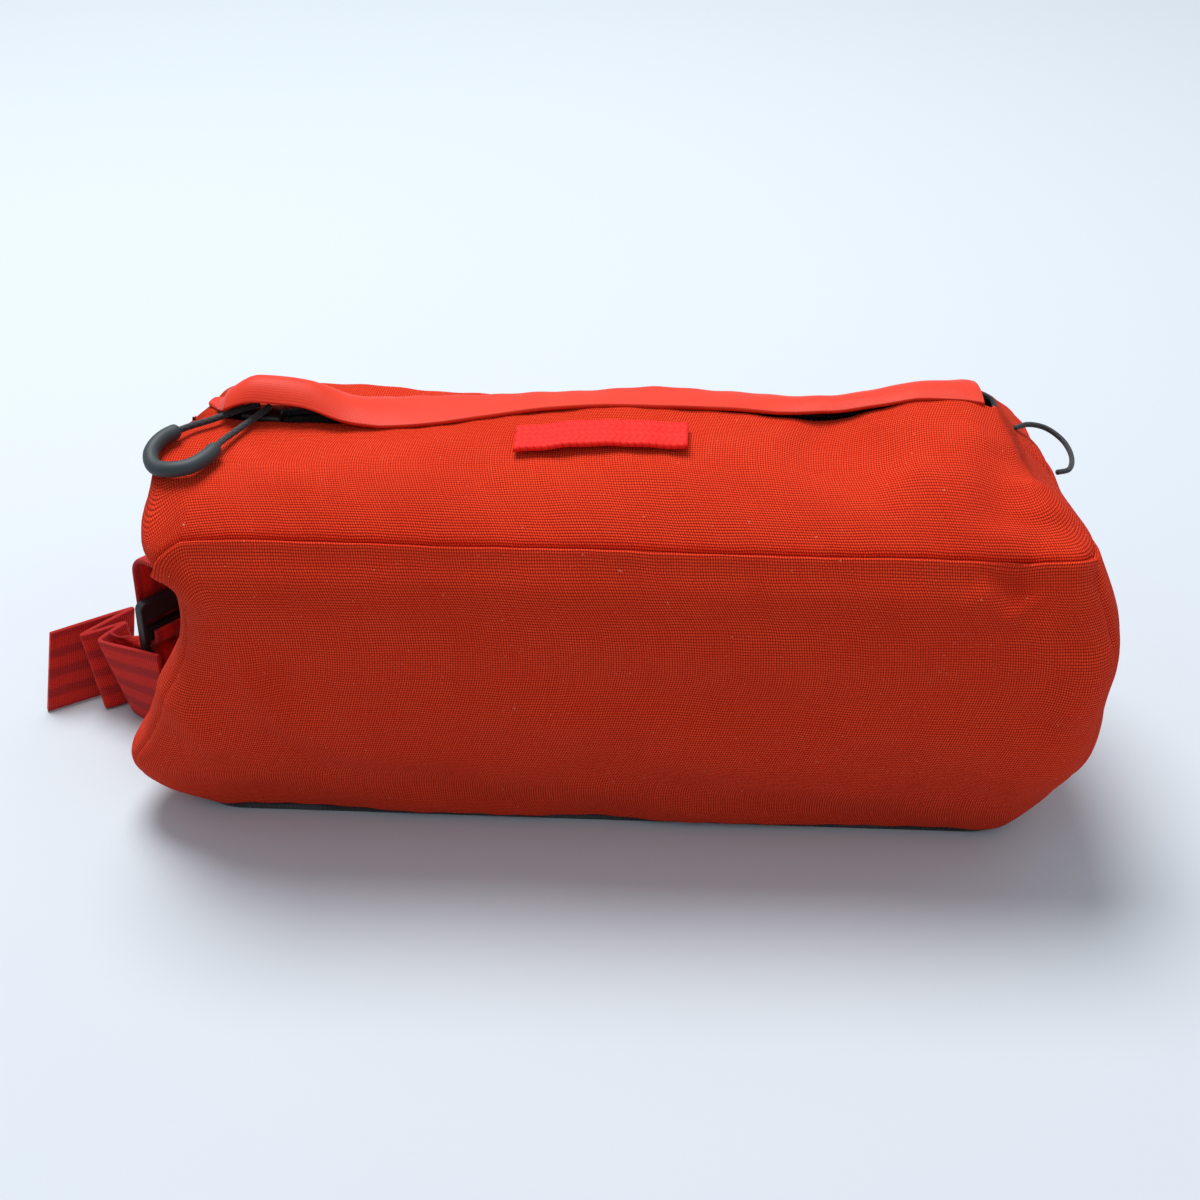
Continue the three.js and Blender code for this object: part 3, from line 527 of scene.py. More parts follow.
# The zip line: places along the bag, then aside, height, reach, lift and crown, in shares of the sizes
ZIP_LINE = [
    (-1.00, -0.04, 0.950, 1.00, 0.35, 0.10), (-0.95, -0.06, 0.955, 1.05, 0.50, 0.30),
    (-0.84, -0.12, 0.955, 0.85, 1.00, 0.75), (-0.73, -0.14, 0.958, 0.70, 0.90, 0.65),
    (-0.60, -0.13, 0.960, 0.85, 0.50, 0.30), (-0.47, -0.11, 0.965, 0.85, 0.30, 0.12),
    (-0.31, -0.07, 0.980, 0.75, 0.20, 0.05), (-0.14, -0.02, 0.994, 0.62, 0.18, 0.05),
    (0.00, 0.00, 0.998, 0.55, 0.18, 0.05), (0.24, 0.00, 0.996, 0.52, 0.20, 0.08),
    (0.40, 0.00, 0.984, 0.45, 0.35, 0.35), (0.49, 0.01, 0.978, 0.45, 0.50, 0.55),
    (0.60, 0.04, 1.000, 0.50, 0.38, 0.40), (0.71, 0.07, 1.022, 0.60, 0.25, 0.28),
    (0.80, 0.06, 1.022, 0.62, 0.25, 0.22), (0.87, 0.03, 1.000, 0.60, 0.45, 0.15),
    (0.93, 0.00, 0.965, 0.80, 0.45, 0.05),
]
# Dents and bulges, in shares of the bag's sizes: middle, width, depth and height, then the turn in
# radians and the size outwards
DENTS = [
    (-1.00, -1.15, 0.62, 0.10, 0.50, 0.13, 0.0, -0.075), (-0.74, -1.45, 0.49, 0.05, 0.60, 0.22, 0.5, -0.040),
    (1.14, -1.05, 0.54, 0.08, 0.35, 0.13, 0.2, -0.080), (0.92, -1.40, 0.77, 0.06, 0.40, 0.07, -0.7, -0.040),
    (-1.00, 0.15, 0.48, 0.20, 0.90, 0.30, 0.0, -0.050), (1.12, 0.10, 0.45, 0.12, 0.60, 0.20, 0.0, 0.080),
    (-1.14, -1.00, 0.12, 0.10, 0.60, 0.12, 0.0, 0.075),
]


def zip_at(x):
    """Aside, height, reach, lift and crown of the zip line at a place along the bag."""
    table = np.array(ZIP_LINE)
    return np.moveaxis(smooth_table(table[:, 0], table[:, 1:], x / HALF_LENGTH), -1, 0)


def seam_drop(u, v):
    """The seam runs lower round the front left corner than the levels do."""
    turn = np.mod(u + 4, 8) - 4
    drop = SEAM_DROP * smoothstep(-turn, -0.10, 0.50) * smoothstep(turn, -2.2, -0.9)
    return v - drop * np.exp(-((v - SEAM_LEVEL) / SEAM_DROP_SPREAD) ** 2)


def body_point(u, v):
    """The smooth body: u goes round it in eight parts, two to a side, and v up its levels."""
    u, v = np.broadcast_arrays(np.asarray(u, float), np.asarray(v, float))
    v = seam_drop(u, v)
    values = smooth_table(range(len(LEVELS)), LEVELS, v)
    level = dict(zip(LEVEL_COLUMNS, np.moveaxis(values, -1, 0)))
    slot = level["zipShare"] * ZIP_SLOT / 2 * np.maximum(0, v - ZIP_LEVEL + 1)

    def corner(x, y, z, side):
        return np.stack([x * HALF_LENGTH, y * HALF_DEPTH + side * slot, z * BAG_HEIGHT], -1)

    corners = np.stack([
        corner(level["leftFront"], level["front"], level["frontHeight"], -1),
        corner(level["rightFront"], level["front"], level["frontHeight"], -1),
        corner(level["rightBack"], level["back"], level["backHeight"], 1),
        corner(level["leftBack"], level["back"], level["backHeight"], 1)], -2)
    rounds = np.stack([level["frontRound"], level["frontRound"], level["backRound"], level["backRound"]], -1)
    turn = np.mod(u, 8)
    side = np.floor(turn / 2).astype(int)
    along = turn - 2 * side

    def pick(k):
        return np.take_along_axis(corners, np.mod(k, 4)[..., None, None], -2)[..., 0, :]

    def cut(a, b):
        way = pick(b) - pick(a)
        length = np.linalg.norm(way, axis=-1)
        size = np.take_along_axis(rounds, np.mod(a, 4)[..., None], -1)[..., 0] * HALF_DEPTH
        return pick(a) + way * np.minimum(size / length, CORNER_SHARE)[..., None]

    straight = np.clip(along, 0, 1)[..., None]
    flat = cut(side, side + 1) * (1 - straight) + cut(side + 1, side) * straight
    curved = bezier(cut(side + 1, side), pick(side + 1), cut(side + 1, side + 2), np.clip(along - 1, 0, 1))
    point = np.where((along <= 1)[..., None], flat, curved)
    aside, height, _, _, _ = zip_at(point[..., 0])
    point[..., 1] += aside * HALF_DEPTH * level["zipShare"]
    point[..., 2] += (height - 1) * BAG_HEIGHT * level["zipShare"]
    back = smoothstep(point[..., 1], 0, HALF_DEPTH * BACK_SAG_REACH)
    middle = np.maximum(0, 1 - (point[..., 0] / HALF_LENGTH) ** 2)
    point[..., 2] -= level["backSag"] * BAG_HEIGHT * middle * back
    return point


def dents(point):
    """Depth outwards of the dents and bulges at points."""
    depth = np.zeros(point.shape[:-1])
    for x, y, z, wide, deep, high, turn, size in DENTS:
        dx, dz = point[..., 0] - x * HALF_LENGTH, point[..., 2] - z * BAG_HEIGHT
        dy = (point[..., 1] - y * HALF_DEPTH) / (deep * HALF_DEPTH)
        across = (dx * math.cos(turn) + dz * math.sin(turn)) / (wide * HALF_LENGTH)
        along = (dz * math.cos(turn) - dx * math.sin(turn)) / (high * BAG_HEIGHT)
        depth += size * HALF_DEPTH * np.exp(-across ** 2 - along ** 2 - dy ** 2)
    return depth


# Small folds: depth, half width, and the points that each follows, before the body is lifted
FOLDS = [
    (0.0016, 0.0060, [(-0.0927, -0.0577, 0.0765), (-0.0899, -0.0573, 0.0660), (-0.0884, -0.0569, 0.0535),
                      (-0.0762, -0.0540, 0.0360), (-0.0575, -0.0491, 0.0206)]),
    (-0.0014, 0.0065, [(-0.0985, -0.0560, 0.0650), (-0.0975, -0.0550, 0.0480), (-0.0880, -0.0530, 0.0340),
                       (-0.0740, -0.0500, 0.0230)]),
    (0.0014, 0.0055, [(-0.1200, -0.0400, 0.0480), (-0.1067, -0.0553, 0.0390), (-0.0960, -0.0502, 0.0222)]),
    (-0.0012, 0.0080, [(-0.0600, -0.0572, 0.0560), (-0.0100, -0.0580, 0.0530), (0.0450, -0.0580, 0.0500),
                       (0.0850, -0.0570, 0.0470)]),
    (0.0010, 0.0070, [(-0.0300, -0.0575, 0.0700), (0.0300, -0.0580, 0.0665), (0.0900, -0.0565, 0.0640)]),
    (-0.0024, 0.0050, [(0.0960, -0.0500, 0.0905), (0.0977, -0.0529, 0.0839), (0.1008, -0.0537, 0.0805)]),
    (0.0016, 0.0050, [(0.0860, -0.0530, 0.0850), (0.0940, -0.0540, 0.0790), (0.0990, -0.0550, 0.0740)]),
    (0.0014, 0.0055, [(0.1010, -0.0480, 0.0900), (0.1090, -0.0500, 0.0880), (0.1150, -0.0470, 0.0860)]),
    (-0.0020, 0.0075, [(0.0960, -0.0152, 0.1050), (0.0951, -0.0335, 0.1001), (0.0938, -0.0453, 0.0931)]),
    (0.0014, 0.0080, [(0.1050, -0.0250, 0.1000), (0.1070, -0.0400, 0.0940)]),
    (-0.0016, 0.0060, [(0.1060, -0.0560, 0.0660), (0.1090, -0.0565, 0.0540), (0.1050, -0.0560, 0.0420)]),
    (0.0022, 0.0080, [(0.1140, -0.0530, 0.0700), (0.1176, -0.0560, 0.0600), (0.1126, -0.0560, 0.0440)]),
    (-0.0018, 0.0110, [(0.0420, -0.0120, 0.1020), (0.0600, -0.0180, 0.1010), (0.0740, -0.0300, 0.0990)]),
]


def line_distance(point, line):
    """How far points are from a line of points, and how far along it they are, 0 to 1."""
    line = np.asarray(line, float)
    total = run_length(line)
    best = np.full(point.shape[:-1], 1e9)
    place = np.zeros(point.shape[:-1])
    for a, b, start, end in zip(line[:-1], line[1:], total[:-1], total[1:]):
        way = b - a
        t = np.clip(((point - a) @ way) / (way @ way), 0, 1)
        far = np.linalg.norm(point - a - t[..., None] * way, axis=-1)
        closer = far < best
        best = np.where(closer, far, best)
        place = np.where(closer, (start + t * (end - start)) / total[-1], place)
    return best, place


def folds(point):
    """Depth outwards of the folds at points. Each runs out towards its two ends."""
    depth = np.zeros(point.shape[:-1])
    for size, width, line in FOLDS:
        far, place = line_distance(point, line)
        taper = smoothstep(np.minimum(place, 1 - place), -0.02, 0.25)
        depth += size * np.exp(-(far / width) ** 2) * taper
    return depth


rng = np.random.default_rng(11)
# Lengths and heights of the waves in the cloth
WAVE_SIZES = ((0.11, 0.0005), (0.09, 0.0005), (0.06, 0.0003), (0.05, 0.0003), (0.035, 0.00018),
              (0.028, 0.00015), (0.02, 0.0001))
WAVES = [(rng.normal(size=3) * 2 * math.pi / length, rng.uniform(0, 2 * math.pi), size)
         for length, size in WAVE_SIZES]
SLOPE_STEP_ROUND = 0.1
SLOPE_STEP_UP = 0.3


def ripples(point):
    """A slight unevenness of the whole cloth."""
    return sum(size * np.sin(point @ way + phase) for way, phase, size in WAVES)


def surface(u, v):
    """Points on the folded body and their outward normals."""
    low, high = np.maximum(v - SLOPE_STEP_UP, 0), np.minimum(v + SLOPE_STEP_UP, ZIP_LEVEL)
    along = body_point(u + SLOPE_STEP_ROUND, v) - body_point(u - SLOPE_STEP_ROUND, v)
    up = body_point(u, high) - body_point(u, low)
    normal = unit(np.cross(along, up))
    point = body_point(u, v)
    depth = dents(point) + folds(point) + ripples(point)
    return point + normal * depth[..., None], normal


def even_places(curve, start, end, spacing, ends=(0.0003, 0.0007, 0.0012, 0.0019)):
    """Parameters along a curve about a spacing apart, closer together at both ends."""
    fine = np.linspace(start, end, 1200)
    along = run_length(curve(fine))
    count = max(4, round(along[-1] / spacing))
    marks = set(np.linspace(0, along[-1], count + 1).tolist())
    marks = {m for m in marks if m == 0 or m == along[-1] or ends[-1] < m < along[-1] - ends[-1]}
    marks |= set(ends) | {along[-1] - e for e in ends}
    return np.interp(sorted(marks), along, fine)


PANEL_SPACING = 0.0016
SEAM_DIP = 0.0010
SEAM_HALF_WIDTH = 0.0011
END_SEAM = 0.5
UNDER_RIDGE = 1.1
UNDER_RIDGE_HALF_WIDTH = 0.0014
MOST_DIP = 1.3
RIDGE_HEIGHT = 0.0024
RIDGE_HALF_WIDTH = 0.0034
RIDGE_EDGE = 0.0028
RIDGE_EDGE_WIDTH = 0.0004
RIDGE_LEVEL = SEAM_LEVEL + 0.09


def bell(distance, half_width):
    return np.exp(-(distance / half_width) ** 2)


def panel(name, start, end, bottom, top, nodes, ridge=False, painted_shade_from=None):
    """One cloth panel. Its edges turn in at the seams, a ridge may stand proud along its top, and its rows
    next to the zip may take the dark tape cloth as painted shade under the flap.
    """
    middle = (start + end) / 2
    row = (bottom + top) / 2 - 0.5
    us = even_places(lambda u: body_point(u, np.full_like(u, row)), start, end, PANEL_SPACING)
    vs = even_places(lambda v: body_point(np.full_like(v, middle), v), bottom, top, PANEL_SPACING)
    u, v = np.meshgrid(us, vs)
    point, normal = surface(u, v)
    base = body_point(u, v)
    left = np.linalg.norm(base - base[:, :1], axis=-1)
    right = np.linalg.norm(base - base[:, -1:], axis=-1)
    below = np.linalg.norm(base - base[:1], axis=-1)
    above = np.linalg.norm(base - base[-1:], axis=-1)
    dip = END_SEAM * (bell(left, SEAM_HALF_WIDTH) + bell(right, SEAM_HALF_WIDTH))
    if ridge:
        lift = RIDGE_HEIGHT * bell(above, RIDGE_HALF_WIDTH) - RIDGE_EDGE * bell(above, RIDGE_EDGE_WIDTH)
    elif top < ZIP_LEVEL:
        lift = -SEAM_DIP * bell(above, SEAM_HALF_WIDTH)
    else:
        lift = np.zeros_like(u)
    if bottom > 0:
        dip = dip + UNDER_RIDGE * bell(below, UNDER_RIDGE_HALF_WIDTH)
    point = point + normal * (lift - SEAM_DIP * np.minimum(dip, MOST_DIP))[..., None]
    point[..., 2] += BODY_LIFT
    uv = sheet_uv(point, int(np.argmin(abs(us - middle))))
    made = add_grid(name, point, uv, FABRIC, "body_fabric", replaces=nodes, thickness=CLOTH)
    # Painted shade: the rows next to the zip take the dark tape cloth, so the shade under the flap shows
    # black.
    if painted_shade_from:
        made.data.materials.append(TAPE)
        rows = np.repeat(vs[:-1] >= painted_shade_from, len(us) - 1)
        made.data.polygons.foreach_set("material_index", rows.astype(np.int32))
    return made


panel("lower_cloth", -0.5, 1.5, 0, RIDGE_LEVEL, ["lower_panel"], ridge=True)
panel("end_cloth_right", 1.5, 3.5, 0, SEAM_LEVEL, ["end_panel_right"])
panel("back_cloth", 3.5, 5.5, 0, SEAM_LEVEL, ["back_panel"])
panel("end_cloth_left", 5.5, 7.5, 0, SEAM_LEVEL, ["end_panel_left"])
panel("upper_cloth", -1.5, 2.5, SEAM_LEVEL, ZIP_LEVEL, ["upper_panel"])
# Its rows next to the zip are dark tape cloth, painted shade under the flap.
panel("top_back_cloth", 2.5, 6.5, SEAM_LEVEL, ZIP_LEVEL, ["top_back_panel"], painted_shade_from=ZIP_LEVEL - 0.32)

# Base

BASE_THICKNESS = 0.0022
BASE_INSET = 0.0012
BASE_SPACING = 0.0025
# Rings of the base: share of the way to the middle, and height
BASE_RINGS = ((0.9, 0.0), (0.5, 0.0), (0.2, 0.0), (0.05, 0.0), (0.018, 0.0), (0.010, 0.0003), (0.007, 0.0008),
              (0.006, 0.0014), (0.008, 0.0020), (0.016, BASE_THICKNESS), (0.05, BASE_THICKNESS),
              (0.2, BASE_THICKNESS), (0.9, BASE_THICKNESS))


def base_cloth():
    """A flat dark panel with round edges under the bag."""
    us = even_places(lambda u: body_point(u, np.zeros_like(u)), 0, 8, BASE_SPACING, ends=(0.001,))[:-1]
    rim = body_point(us, np.zeros_like(us))
    rim[:, 2] = 0
    scale = 1 - BASE_INSET / np.array([HALF_LENGTH, HALF_DEPTH, 1])
    rows = [rim * (1 - inset) * scale + np.array([0, 0, height]) for inset, height in BASE_RINGS]
    points = np.array(rows)
    closing = np.concatenate([points, points[:, :1]], 1)
    add_grid("base_cloth", points[:, ::-1], closing[:, ::-1, :2], BASE_CLOTH, "base_fabric", closed=True,
             caps=True, replaces=["base_panel"])


base_cloth()


# Zip

def lifted(points):
    return points + np.array([0, 0, BODY_LIFT])


def zip_middle(share):
    level = np.full_like(share, ZIP_LEVEL)
    return (body_point(share, level) + body_point(5 - share, level)) / 2


def offset_point(u, v, distance):
    point, normal = surface(u, v)
    return point + normal * distance


ZIP_ENDS = (0.02, 0.94)
ZIP_STEPS = 140
TAPE_DROP = 0.0023
TAPE_LEVELS = (13.6, 13.8, 14.0)
TAPE_TO_COIL = 0.0016
TAPE_THICKNESS = 0.0006
COIL_PITCH = 0.0014
COIL_STEPS = 8
COIL_HALF_WIDTH = 0.00085
COIL_HALF_HEIGHT = 0.0005
COIL_STRAND = 0.00036
zip_shares = np.linspace(*ZIP_ENDS, ZIP_STEPS)
coil_line = zip_middle(zip_shares) + np.array([0, 0, -TAPE_DROP])


def tape(name, front, node):
    """One tape of the zip, from the underside of its panel to the coil."""
    towards = -1 if front else 1
    places = zip_shares if front else 5 - zip_shares
    rows = [offset_point(places, np.full_like(places, v), -TAPE_DROP) for v in TAPE_LEVELS]
    inner = rows[-1].copy()
    inner[:, 1] = coil_line[:, 1] + towards * TAPE_TO_COIL
    rows += [(rows[-1] + inner) / 2, inner]
    points = lifted(np.array(rows))
    if not front:
        points = points[::-1]
    add_grid(name, points, sheet_uv(points), TAPE, "zip_fabric", replaces=[node],
             thickness=TAPE_THICKNESS)


tape("tape_front", True, "zip_tape_front")
tape("tape_back", False, "zip_tape_back")


def coil():
    """The closed coil: turns of one strand along the zip."""
    length = run_length(coil_line)[-1]
    turns = int(length / COIL_PITCH)
    line = even(coil_line, turns * COIL_STEPS + 1)
    angle = np.linspace(0, 2 * math.pi * turns, len(line))
    path = line + np.stack([np.zeros_like(angle), COIL_HALF_WIDTH * np.cos(angle),
                            COIL_HALF_HEIGHT * np.sin(angle)], 1)
    tube("zip_coil", lifted(path), COIL_STRAND, COIL, "zip_plastic", 5, replaces=["zip_teeth"])


coil()


# The flap's front edge: places along the bag, and what is added there to the zip line's reach, lift and crown
FLAP_EDGE = [
    (-1.00, 0.10, -0.20, 0.0), (-0.93, 0.15, -0.15, 0.0), (-0.84, 0.10, -0.05, 0.1),
    (-0.73, 0.15, -0.12, 0.1), (-0.62, 0.22, -0.32, 0.0), (-0.45, 0.20, -0.40, 0.0),
    (-0.14, 0.06, -0.30, -0.05), (0.24, 0.06, -0.35, -0.08), (0.40, 0.15, -0.28, -0.20),
    (0.49, 0.20, -0.26, -0.30), (0.60, 0.12, -0.28, -0.20), (0.80, 0.05, -0.25, 0.0),
    (0.93, 0.10, -0.20, 0.0),
]
FLAP_TIP = 0.0080
FLAP_THICKNESS = 0.0011
FLAP_SEAT = 0.0008
FLAP_ABOVE = 0.0012
FLAP_SEAT_LEVEL = ZIP_LEVEL - 0.8
FLAP_NARROWING = 0.42
FLAP_NARROW_AT = -0.05
FLAP_NARROW_REACH = 0.42
TIP_ASIDE = 0.0035
TIP_WIDTH = 0.004
TIP_ABOVE = 0.0014
TIP_SEATED_AT = 0.005


def top_height(x, y):
    """Height of the bag's top at places near its left end."""
    u, v = np.meshgrid(np.linspace(-3, 0.5, 140), np.linspace(10.5, ZIP_LEVEL, 90))
    known = surface(u, v)[0].reshape(-1, 3)
    far = (x.reshape(-1, 1) - known[:, 0]) ** 2 + (y.reshape(-1, 1) - known[:, 1]) ** 2
    near = np.argsort(far, axis=1)[:, :6]
    weight = 1 / (np.take_along_axis(far, near, 1) + 1e-8)
    return ((known[near, 2] * weight).sum(1) / weight.sum(1)).reshape(x.shape)


def flap_tip(edge, across):
    """Columns that carry the flap on over the left shoulder, narrower and narrower."""
    out = np.linspace(FLAP_TIP, 0.0015, 8)[:, None]
    share = smoothstep(out, 0, FLAP_TIP)
    x = edge[:, 0].mean() - out + 0 * across
    y = edge[:, 1] * (1 - share) + (TIP_ASIDE + (across - 0.5) * TIP_WIDTH) * share
    seated = smoothstep(out, 0, TIP_SEATED_AT)
    z = edge[:, 2] * (1 - seated) + (top_height(x, y) + TIP_ABOVE) * seated
    return np.stack([x, y, z], -1).transpose(1, 0, 2)


def flap():
    """A coated strip over the zip, sewn behind it, that runs out over the left shoulder."""
    across = np.concatenate([[0, 0.012, 0.03, 0.06], np.linspace(0.1, 1, 14)])
    places = even_places(lambda s: body_point(s, np.full_like(s, ZIP_LEVEL)), 0.005, 0.995, PANEL_SPACING)
    front = body_point(places, np.full_like(places, ZIP_LEVEL))
    middle = bell(front[:, 0] / HALF_LENGTH - FLAP_NARROW_AT, FLAP_NARROW_REACH)
    seat = offset_point(5 - places, FLAP_SEAT_LEVEL + FLAP_NARROWING * middle, FLAP_SEAT)
    _, _, reach, lift, crown = zip_at(front[:, 0])
    table = np.array(FLAP_EDGE)
    further, lower, flatter = smooth_table(table[:, 0], table[:, 1:], front[:, 0] / HALF_LENGTH).T
    front[:, 1] += ZIP_SLOT / 2 - (reach + further) * ZIP_SLOT
    front[:, 2] += np.maximum(lift + lower, 0.02) * ZIP_SLOT
    top = (front + seat) / 2
    top[:, 2] = np.maximum(front[:, 2], seat[:, 2]) + np.maximum(crown + flatter, 0) * ZIP_SLOT * 2
    points = np.array([bezier(front, top, seat, np.full(len(places), t)) for t in across])
    points[..., 2] += FLAP_ABOVE
    points = lifted(np.concatenate([flap_tip(points[:, 0], across), points], 1))
    add_grid("flap_cloth", points, sheet_uv(points), COATED, "coated_fabric", replaces=["zip_flap"],
             thickness=FLAP_THICKNESS)


flap()


# Light loop

LOOP_LEVEL = ZIP_LEVEL - 1.22
LOOP_MIDDLE = -0.027
LOOP_LENGTH = 0.043
LOOP_WIDTH = 0.011
LOOP_THICKNESS = 0.0015
LOOP_RISE = 0.0004
LOOP_SEAT = 0.0009
LOOP_FOOT = 0.12
LOOP_FREE = 0.3


def light_loop():
    """A short flat loop of webbing, sewn at both ends and free between."""
    ends = body_point(np.array([0.0, 1.0]), np.full(2, LOOP_LEVEL))
    per = 1 / np.linalg.norm(ends[1] - ends[0])
    middle = (LOOP_MIDDLE * HALF_LENGTH - ends[0, 0]) / (ends[1, 0] - ends[0, 0])
    shares = np.linspace(0, 1, 60)
    u = middle + (shares - 0.5) * LOOP_LENGTH * per
    point, normal = surface(u, np.full_like(u, LOOP_LEVEL))
    bow = smoothstep(shares, LOOP_FOOT, LOOP_FREE) * smoothstep(1 - shares, LOOP_FOOT, LOOP_FREE)
    across = np.cross(normal, np.array([1.0, 0, 0]))
    middles = lifted(point + normal * (LOOP_SEAT + LOOP_THICKNESS / 2 + bow * LOOP_RISE)[:, None])
    band("loop_band", middles, across, normal, LOOP_WIDTH, LOOP_THICKNESS, LOOP, "loop_webbing",
         replaces=["light_loop"])


light_loop()

# Strap

ROOT = np.array([-0.10812, 0.00592, 0.05170])
TOP_BAR = np.array([-0.12449, 0.01413, 0.03620])
ACROSS = np.array([-0.6324, -0.7746, 0.0])
OUT = np.array([-0.7746, 0.6324, 0.0])
END_ACROSS = np.array([-0.0845, -0.9964, 0.0])
END_OUT = np.array([-0.9964, 0.0845, 0.0])
UP = np.array([0.0, 0.0, 1.0])
BAR_PITCH = 0.0087
BAR_TURN = 0.00336
BAR_WIDTH = 0.0036
BAR_DEPTH = 0.0029
ANCHOR_BEND = 0.006
FRAME_LENGTH = 0.030
FRAME_REACH = 0.021
FRAME_POST = 0.002
FRAME_EDGE = 0.0006
FRAME_CORNER = 0.0016
OPENING_CORNER = 0.0010
# Starts and ends of the frame's two openings, down from the middle of its top bar
FRAME_OPENINGS = ((0.0044, BAR_PITCH - BAR_WIDTH / 2),
                  (BAR_PITCH + BAR_WIDTH / 2, 2 * BAR_PITCH - BAR_WIDTH / 2))
ROOT_SEAT = 0.0009
# In strap widths: the loop's far end, from the table below the slider, and its curve's reach at both ends
LOOP_AWAY = (-0.62, -0.25, 0.555)
LOOP_LEAVES = 0.42
LOOP_ARRIVES = 0.45
# Way across the strap at the loop's far end
END_UP = unit(np.array([-0.42, 0, 1.0]))


def bar_turn(bar, rise, steps=13):
    """Middles and thick ways round a bar from its front to its back, over it or under it."""
    centre = TOP_BAR - UP * BAR_PITCH * bar
    angles = np.linspace(0, math.pi, steps)[:, None]
    ways = -OUT * np.cos(angles) + UP * rise * np.sin(angles)
    return centre + ways * BAR_TURN, ways


def anchor():
    """A webbing tab from the end panel that bends down behind the slider and hooks under its middle bar."""
    hook, hook_ways = bar_turn(1, -1)
    start = hook[:1] + UP * BAR_WIDTH / 2
    centre = TOP_BAR + OUT * (BAR_TURN - ANCHOR_BEND)
    centre[2] = ROOT[2] - ANCHOR_BEND
    angles = np.linspace(0, math.pi / 2, 11)[:, None]
    bend_ways = OUT * np.cos(angles) + UP * np.sin(angles)
    bend = centre + bend_ways * ANCHOR_BEND
    share = np.linspace(0, 1, 9)[1:, None]
    root = ROOT + END_OUT * ROOT_SEAT
    run = bend[-1] * (1 - share) + root * share
    across = unit(ACROSS * (1 - share) + END_ACROSS * share)
    middles = np.concatenate([start, hook, bend, run])
    ways = np.concatenate([hook_ways[:1], hook_ways, bend_ways, np.repeat(UP[None], len(run), 0)])
    acrosses = np.concatenate([np.repeat(ACROSS[None], len(middles) - len(run), 0), across])
    band("anchor_band", middles[::-1], acrosses[::-1], ways[::-1], STRAP_WIDTH, STRAP_THICKNESS, WEBBING,
         "strap_webbing", replaces=["strap_anchor"])


anchor()


def slider_frame():
    """The plastic frame: one outline with two openings, with round edges."""
    curve = bpy.data.curves.new("slider_outline", "CURVE")
    curve.dimensions = "2D"
    curve.fill_mode = "BOTH"
    edge = FRAME_EDGE
    curve.extrude = BAR_DEPTH / 2 - edge
    curve.bevel_depth = edge
    curve.bevel_resolution = 3
    long, inner = FRAME_LENGTH / 2, FRAME_LENGTH / 2 - FRAME_POST

    def outline(x0, y0, x1, y1, corner, inwards):
        spline = curve.splines.new("POLY")
        points = []
        for cx, cy, turn in ((x1 - corner, y0 + corner, -90), (x1 - corner, y1 - corner, 0),
                             (x0 + corner, y1 - corner, 90), (x0 + corner, y0 + corner, 180)):
            for step in range(6):
                angle = math.radians(turn + step * 18)
                points.append((cx + corner * math.cos(angle), cy + corner * math.sin(angle)))
        if inwards:
            points = points[::-1]
        spline.points.add(len(points) - 1)
        for made, (x, y) in zip(spline.points, points):
            made.co = (x, y, 0, 1)
        spline.use_cyclic_u = True

    outline(-long + edge, -BAR_WIDTH / 2 + edge, long - edge, FRAME_REACH - BAR_WIDTH / 2 - edge,
            FRAME_CORNER, False)
    for start, end in FRAME_OPENINGS:
        outline(-inner - edge, start - edge, inner + edge, end + edge, OPENING_CORNER, True)
    helper = bpy.data.objects.new("slider_outline", curve)
    scene.collection.objects.link(helper)
    mesh = bpy.data.meshes.new_from_object(helper.evaluated_get(bpy.context.evaluated_depsgraph_get()))
    bpy.data.objects.remove(helper)
    bpy.data.curves.remove(curve)
    basis = np.stack([ACROSS, -UP, np.cross(ACROSS, -UP)], 1)
    points = np.array([tuple(v.co) for v in mesh.vertices]) @ basis.T + TOP_BAR
    faces = [list(p.vertices) for p in mesh.polygons]
    uv = [tuple(mesh.vertices[k].co)[:2] for f in faces for k in f]
    bpy.data.meshes.remove(mesh)
    add_mesh("slider_frame", points, faces, uv, PLASTIC, "strap_plastic", replaces=["strap_slider"],
             smooth=False)


slider_frame()


def strap_loop():
    """Webbing over the slider's lowest bar that leaves it behind and turns onto its edge."""
    hook, hook_ways = bar_turn(2, 1)
    start = hook[:1] - UP * BAR_WIDTH / 2
    foot = TOP_BAR * np.array([1, 1, 0])
    away = foot + np.array(LOOP_AWAY) * STRAP_WIDTH
    knots = [hook[-1], hook[-1] + OUT * LOOP_LEAVES * STRAP_WIDTH,
             away + np.array([LOOP_ARRIVES * STRAP_WIDTH, 0, 0]), away]
    t = np.linspace(0, 1, 33)[:, None]
    path = (knots[0] * (1 - t) ** 3 + knots[1] * 3 * t * (1 - t) ** 2 + knots[2] * 3 * t * t * (1 - t)
            + knots[3] * t ** 3)
    along = unit(np.gradient(path, axis=0))[1:]
    across = unit(ACROSS * np.cos(t * math.pi / 2) + END_UP * np.sin(t * math.pi / 2))[1:]
    middles = np.concatenate([start, hook, path[1:]])
    acrosses = np.concatenate([np.repeat(ACROSS[None], len(hook) + 1, 0), across])
    ways = np.concatenate([hook_ways[:1], hook_ways, np.cross(along, across)])
    band("slider_band", middles, acrosses, ways, STRAP_WIDTH, STRAP_THICKNESS, WEBBING, "strap_webbing",
         replaces=["strap_loop"])


strap_loop()

TAIL_START = -0.12812
# Turns of the tail, in strap widths: x from its start and y, first of its lower edge, then of its upper edge
TAIL = [
    (-1.46, 0.10, -1.34, 0.30), (-0.62, 0.62, -0.54, 0.88), (-0.78, 0.20, -0.98, 0.28),
    (-0.34, 0.46, -0.56, 0.56), (-0.42, 0.12, -0.76, 0.20), (0.02, -0.18, 0.00, -0.10),
]


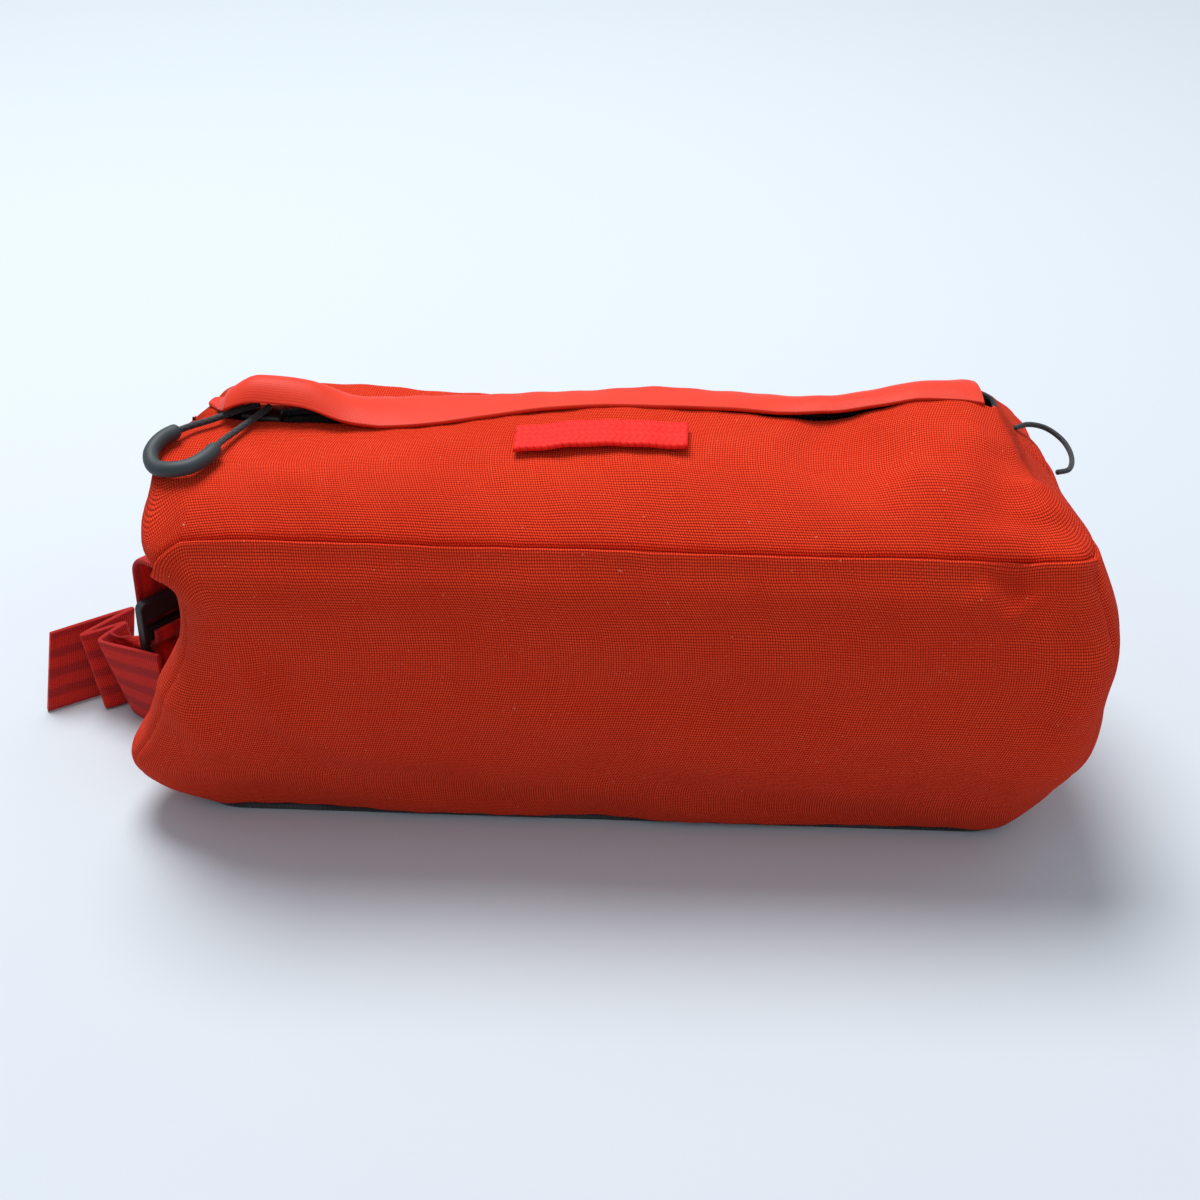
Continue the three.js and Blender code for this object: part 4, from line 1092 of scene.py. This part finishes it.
def tail():
    """Webbing folded to and fro that stands on its edge."""
    rows = np.array(TAIL) * STRAP_WIDTH
    zero = np.zeros(len(rows))
    low = np.stack([rows[:, 0] + TAIL_START, rows[:, 1], zero], 1)
    high = np.stack([rows[:, 2] + TAIL_START, rows[:, 3], zero + STRAP_WIDTH], 1)
    low, high = (catmull(line, 140, False, 0.25) for line in (low, high))
    middles = (low + high) / 2
    along = unit(np.gradient(low + high, axis=0))
    across = high - low
    thick = np.cross(along, across)
    thick[:, 2] = 0
    band("tail_band", middles, across, thick, STRAP_WIDTH, STRAP_THICKNESS, WEBBING, "strap_webbing",
         replaces=["strap_tail"])


tail()


# Zip slider

SLIDER_TURN = -0.0770
# In shares of the slider's half sizes: one side of its outline, and the size and height of its layers
SLIDER_OUTLINE = [(-1.0, 0.62), (-0.7, 0.72), (-0.3, 0.9), (0.2, 1.0), (0.75, 1.0), (1.0, 0.86)]
SLIDER_LAYERS = ((0.80, -1.0), (0.95, -0.85), (1.0, -0.4), (1.0, 0.3), (0.93, 0.8), (0.75, 1.0))


def zip_slider():
    """The slider's body: a low wedge with round edges."""
    lo, hi = (np.array(c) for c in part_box("zip_slider"))
    centre, half = (lo + hi) / 2, (hi - lo) / 2
    rows = []
    ring = np.array(SLIDER_OUTLINE + [(x, -y) for x, y in SLIDER_OUTLINE[::-1]])
    for size, height in SLIDER_LAYERS:
        xy = ring * np.array([half[0], half[1] * 0.9]) * size
        x = xy[:, 0] * math.cos(SLIDER_TURN) - xy[:, 1] * math.sin(SLIDER_TURN)
        y = xy[:, 0] * math.sin(SLIDER_TURN) + xy[:, 1] * math.cos(SLIDER_TURN)
        rows.append(np.stack([x, y, np.full(len(x), half[2] * height)], 1) + centre)
    points = np.array(rows)[:, ::-1]
    uv = np.concatenate([points, points[:, :1]], 1)[..., :2]
    add_grid("zip_slider_body", points, uv, COIL, "zip_plastic", closed=True, caps=True,
             replaces=["zip_slider"])


zip_slider()

# Floor and light

FLOOR_HALF = 6
floor_paint = Paint("floor_paint", 0.75, Specular_IOR_Level=0.15)
cloud = floor_paint.noise(floor_paint.place(), 1.5, 1.0)
floor_paint.colour(floor_paint.mix(cloud, (0.53, 0.58, 0.62, 1), (0.57, 0.61, 0.65, 1)))
floor_mesh = bpy.data.meshes.new("floor")
floor_corners = [(x * FLOOR_HALF, y * FLOOR_HALF, 0) for x, y in ((-1, -1), (1, -1), (1, 1), (-1, 1))]
floor_mesh.from_pydata(floor_corners, [], [(0, 1, 2, 3)])
floor_mesh.materials.append(floor_paint.material)
floor = bpy.data.objects.new("floor", floor_mesh)
scene.collection.objects.link(floor)

world = bpy.data.worlds.new("studio")
world.use_nodes = True
world.node_tree.nodes["Background"].inputs[0].default_value = (0.80, 0.87, 0.95, 1)
world.node_tree.nodes["Background"].inputs[1].default_value = 0.60
scene.world = world

LIGHT_AIM = (0, 0, 0.05)


def soft_light(name, place, size, power):
    data = bpy.data.lights.new(name, "AREA")
    data.shape = "DISK"
    data.size = size
    data.energy = power
    light = bpy.data.objects.new(name, data)
    scene.collection.objects.link(light)
    light.location = place
    light.rotation_euler = (Vector(LIGHT_AIM) - Vector(place)).to_track_quat("-Z", "Y").to_euler()


soft_light("key", (-0.25, 0.40, 1.3), 0.8, 21)
soft_light("fill", (0.9, -0.9, 0.9), 1.2, 1.6)
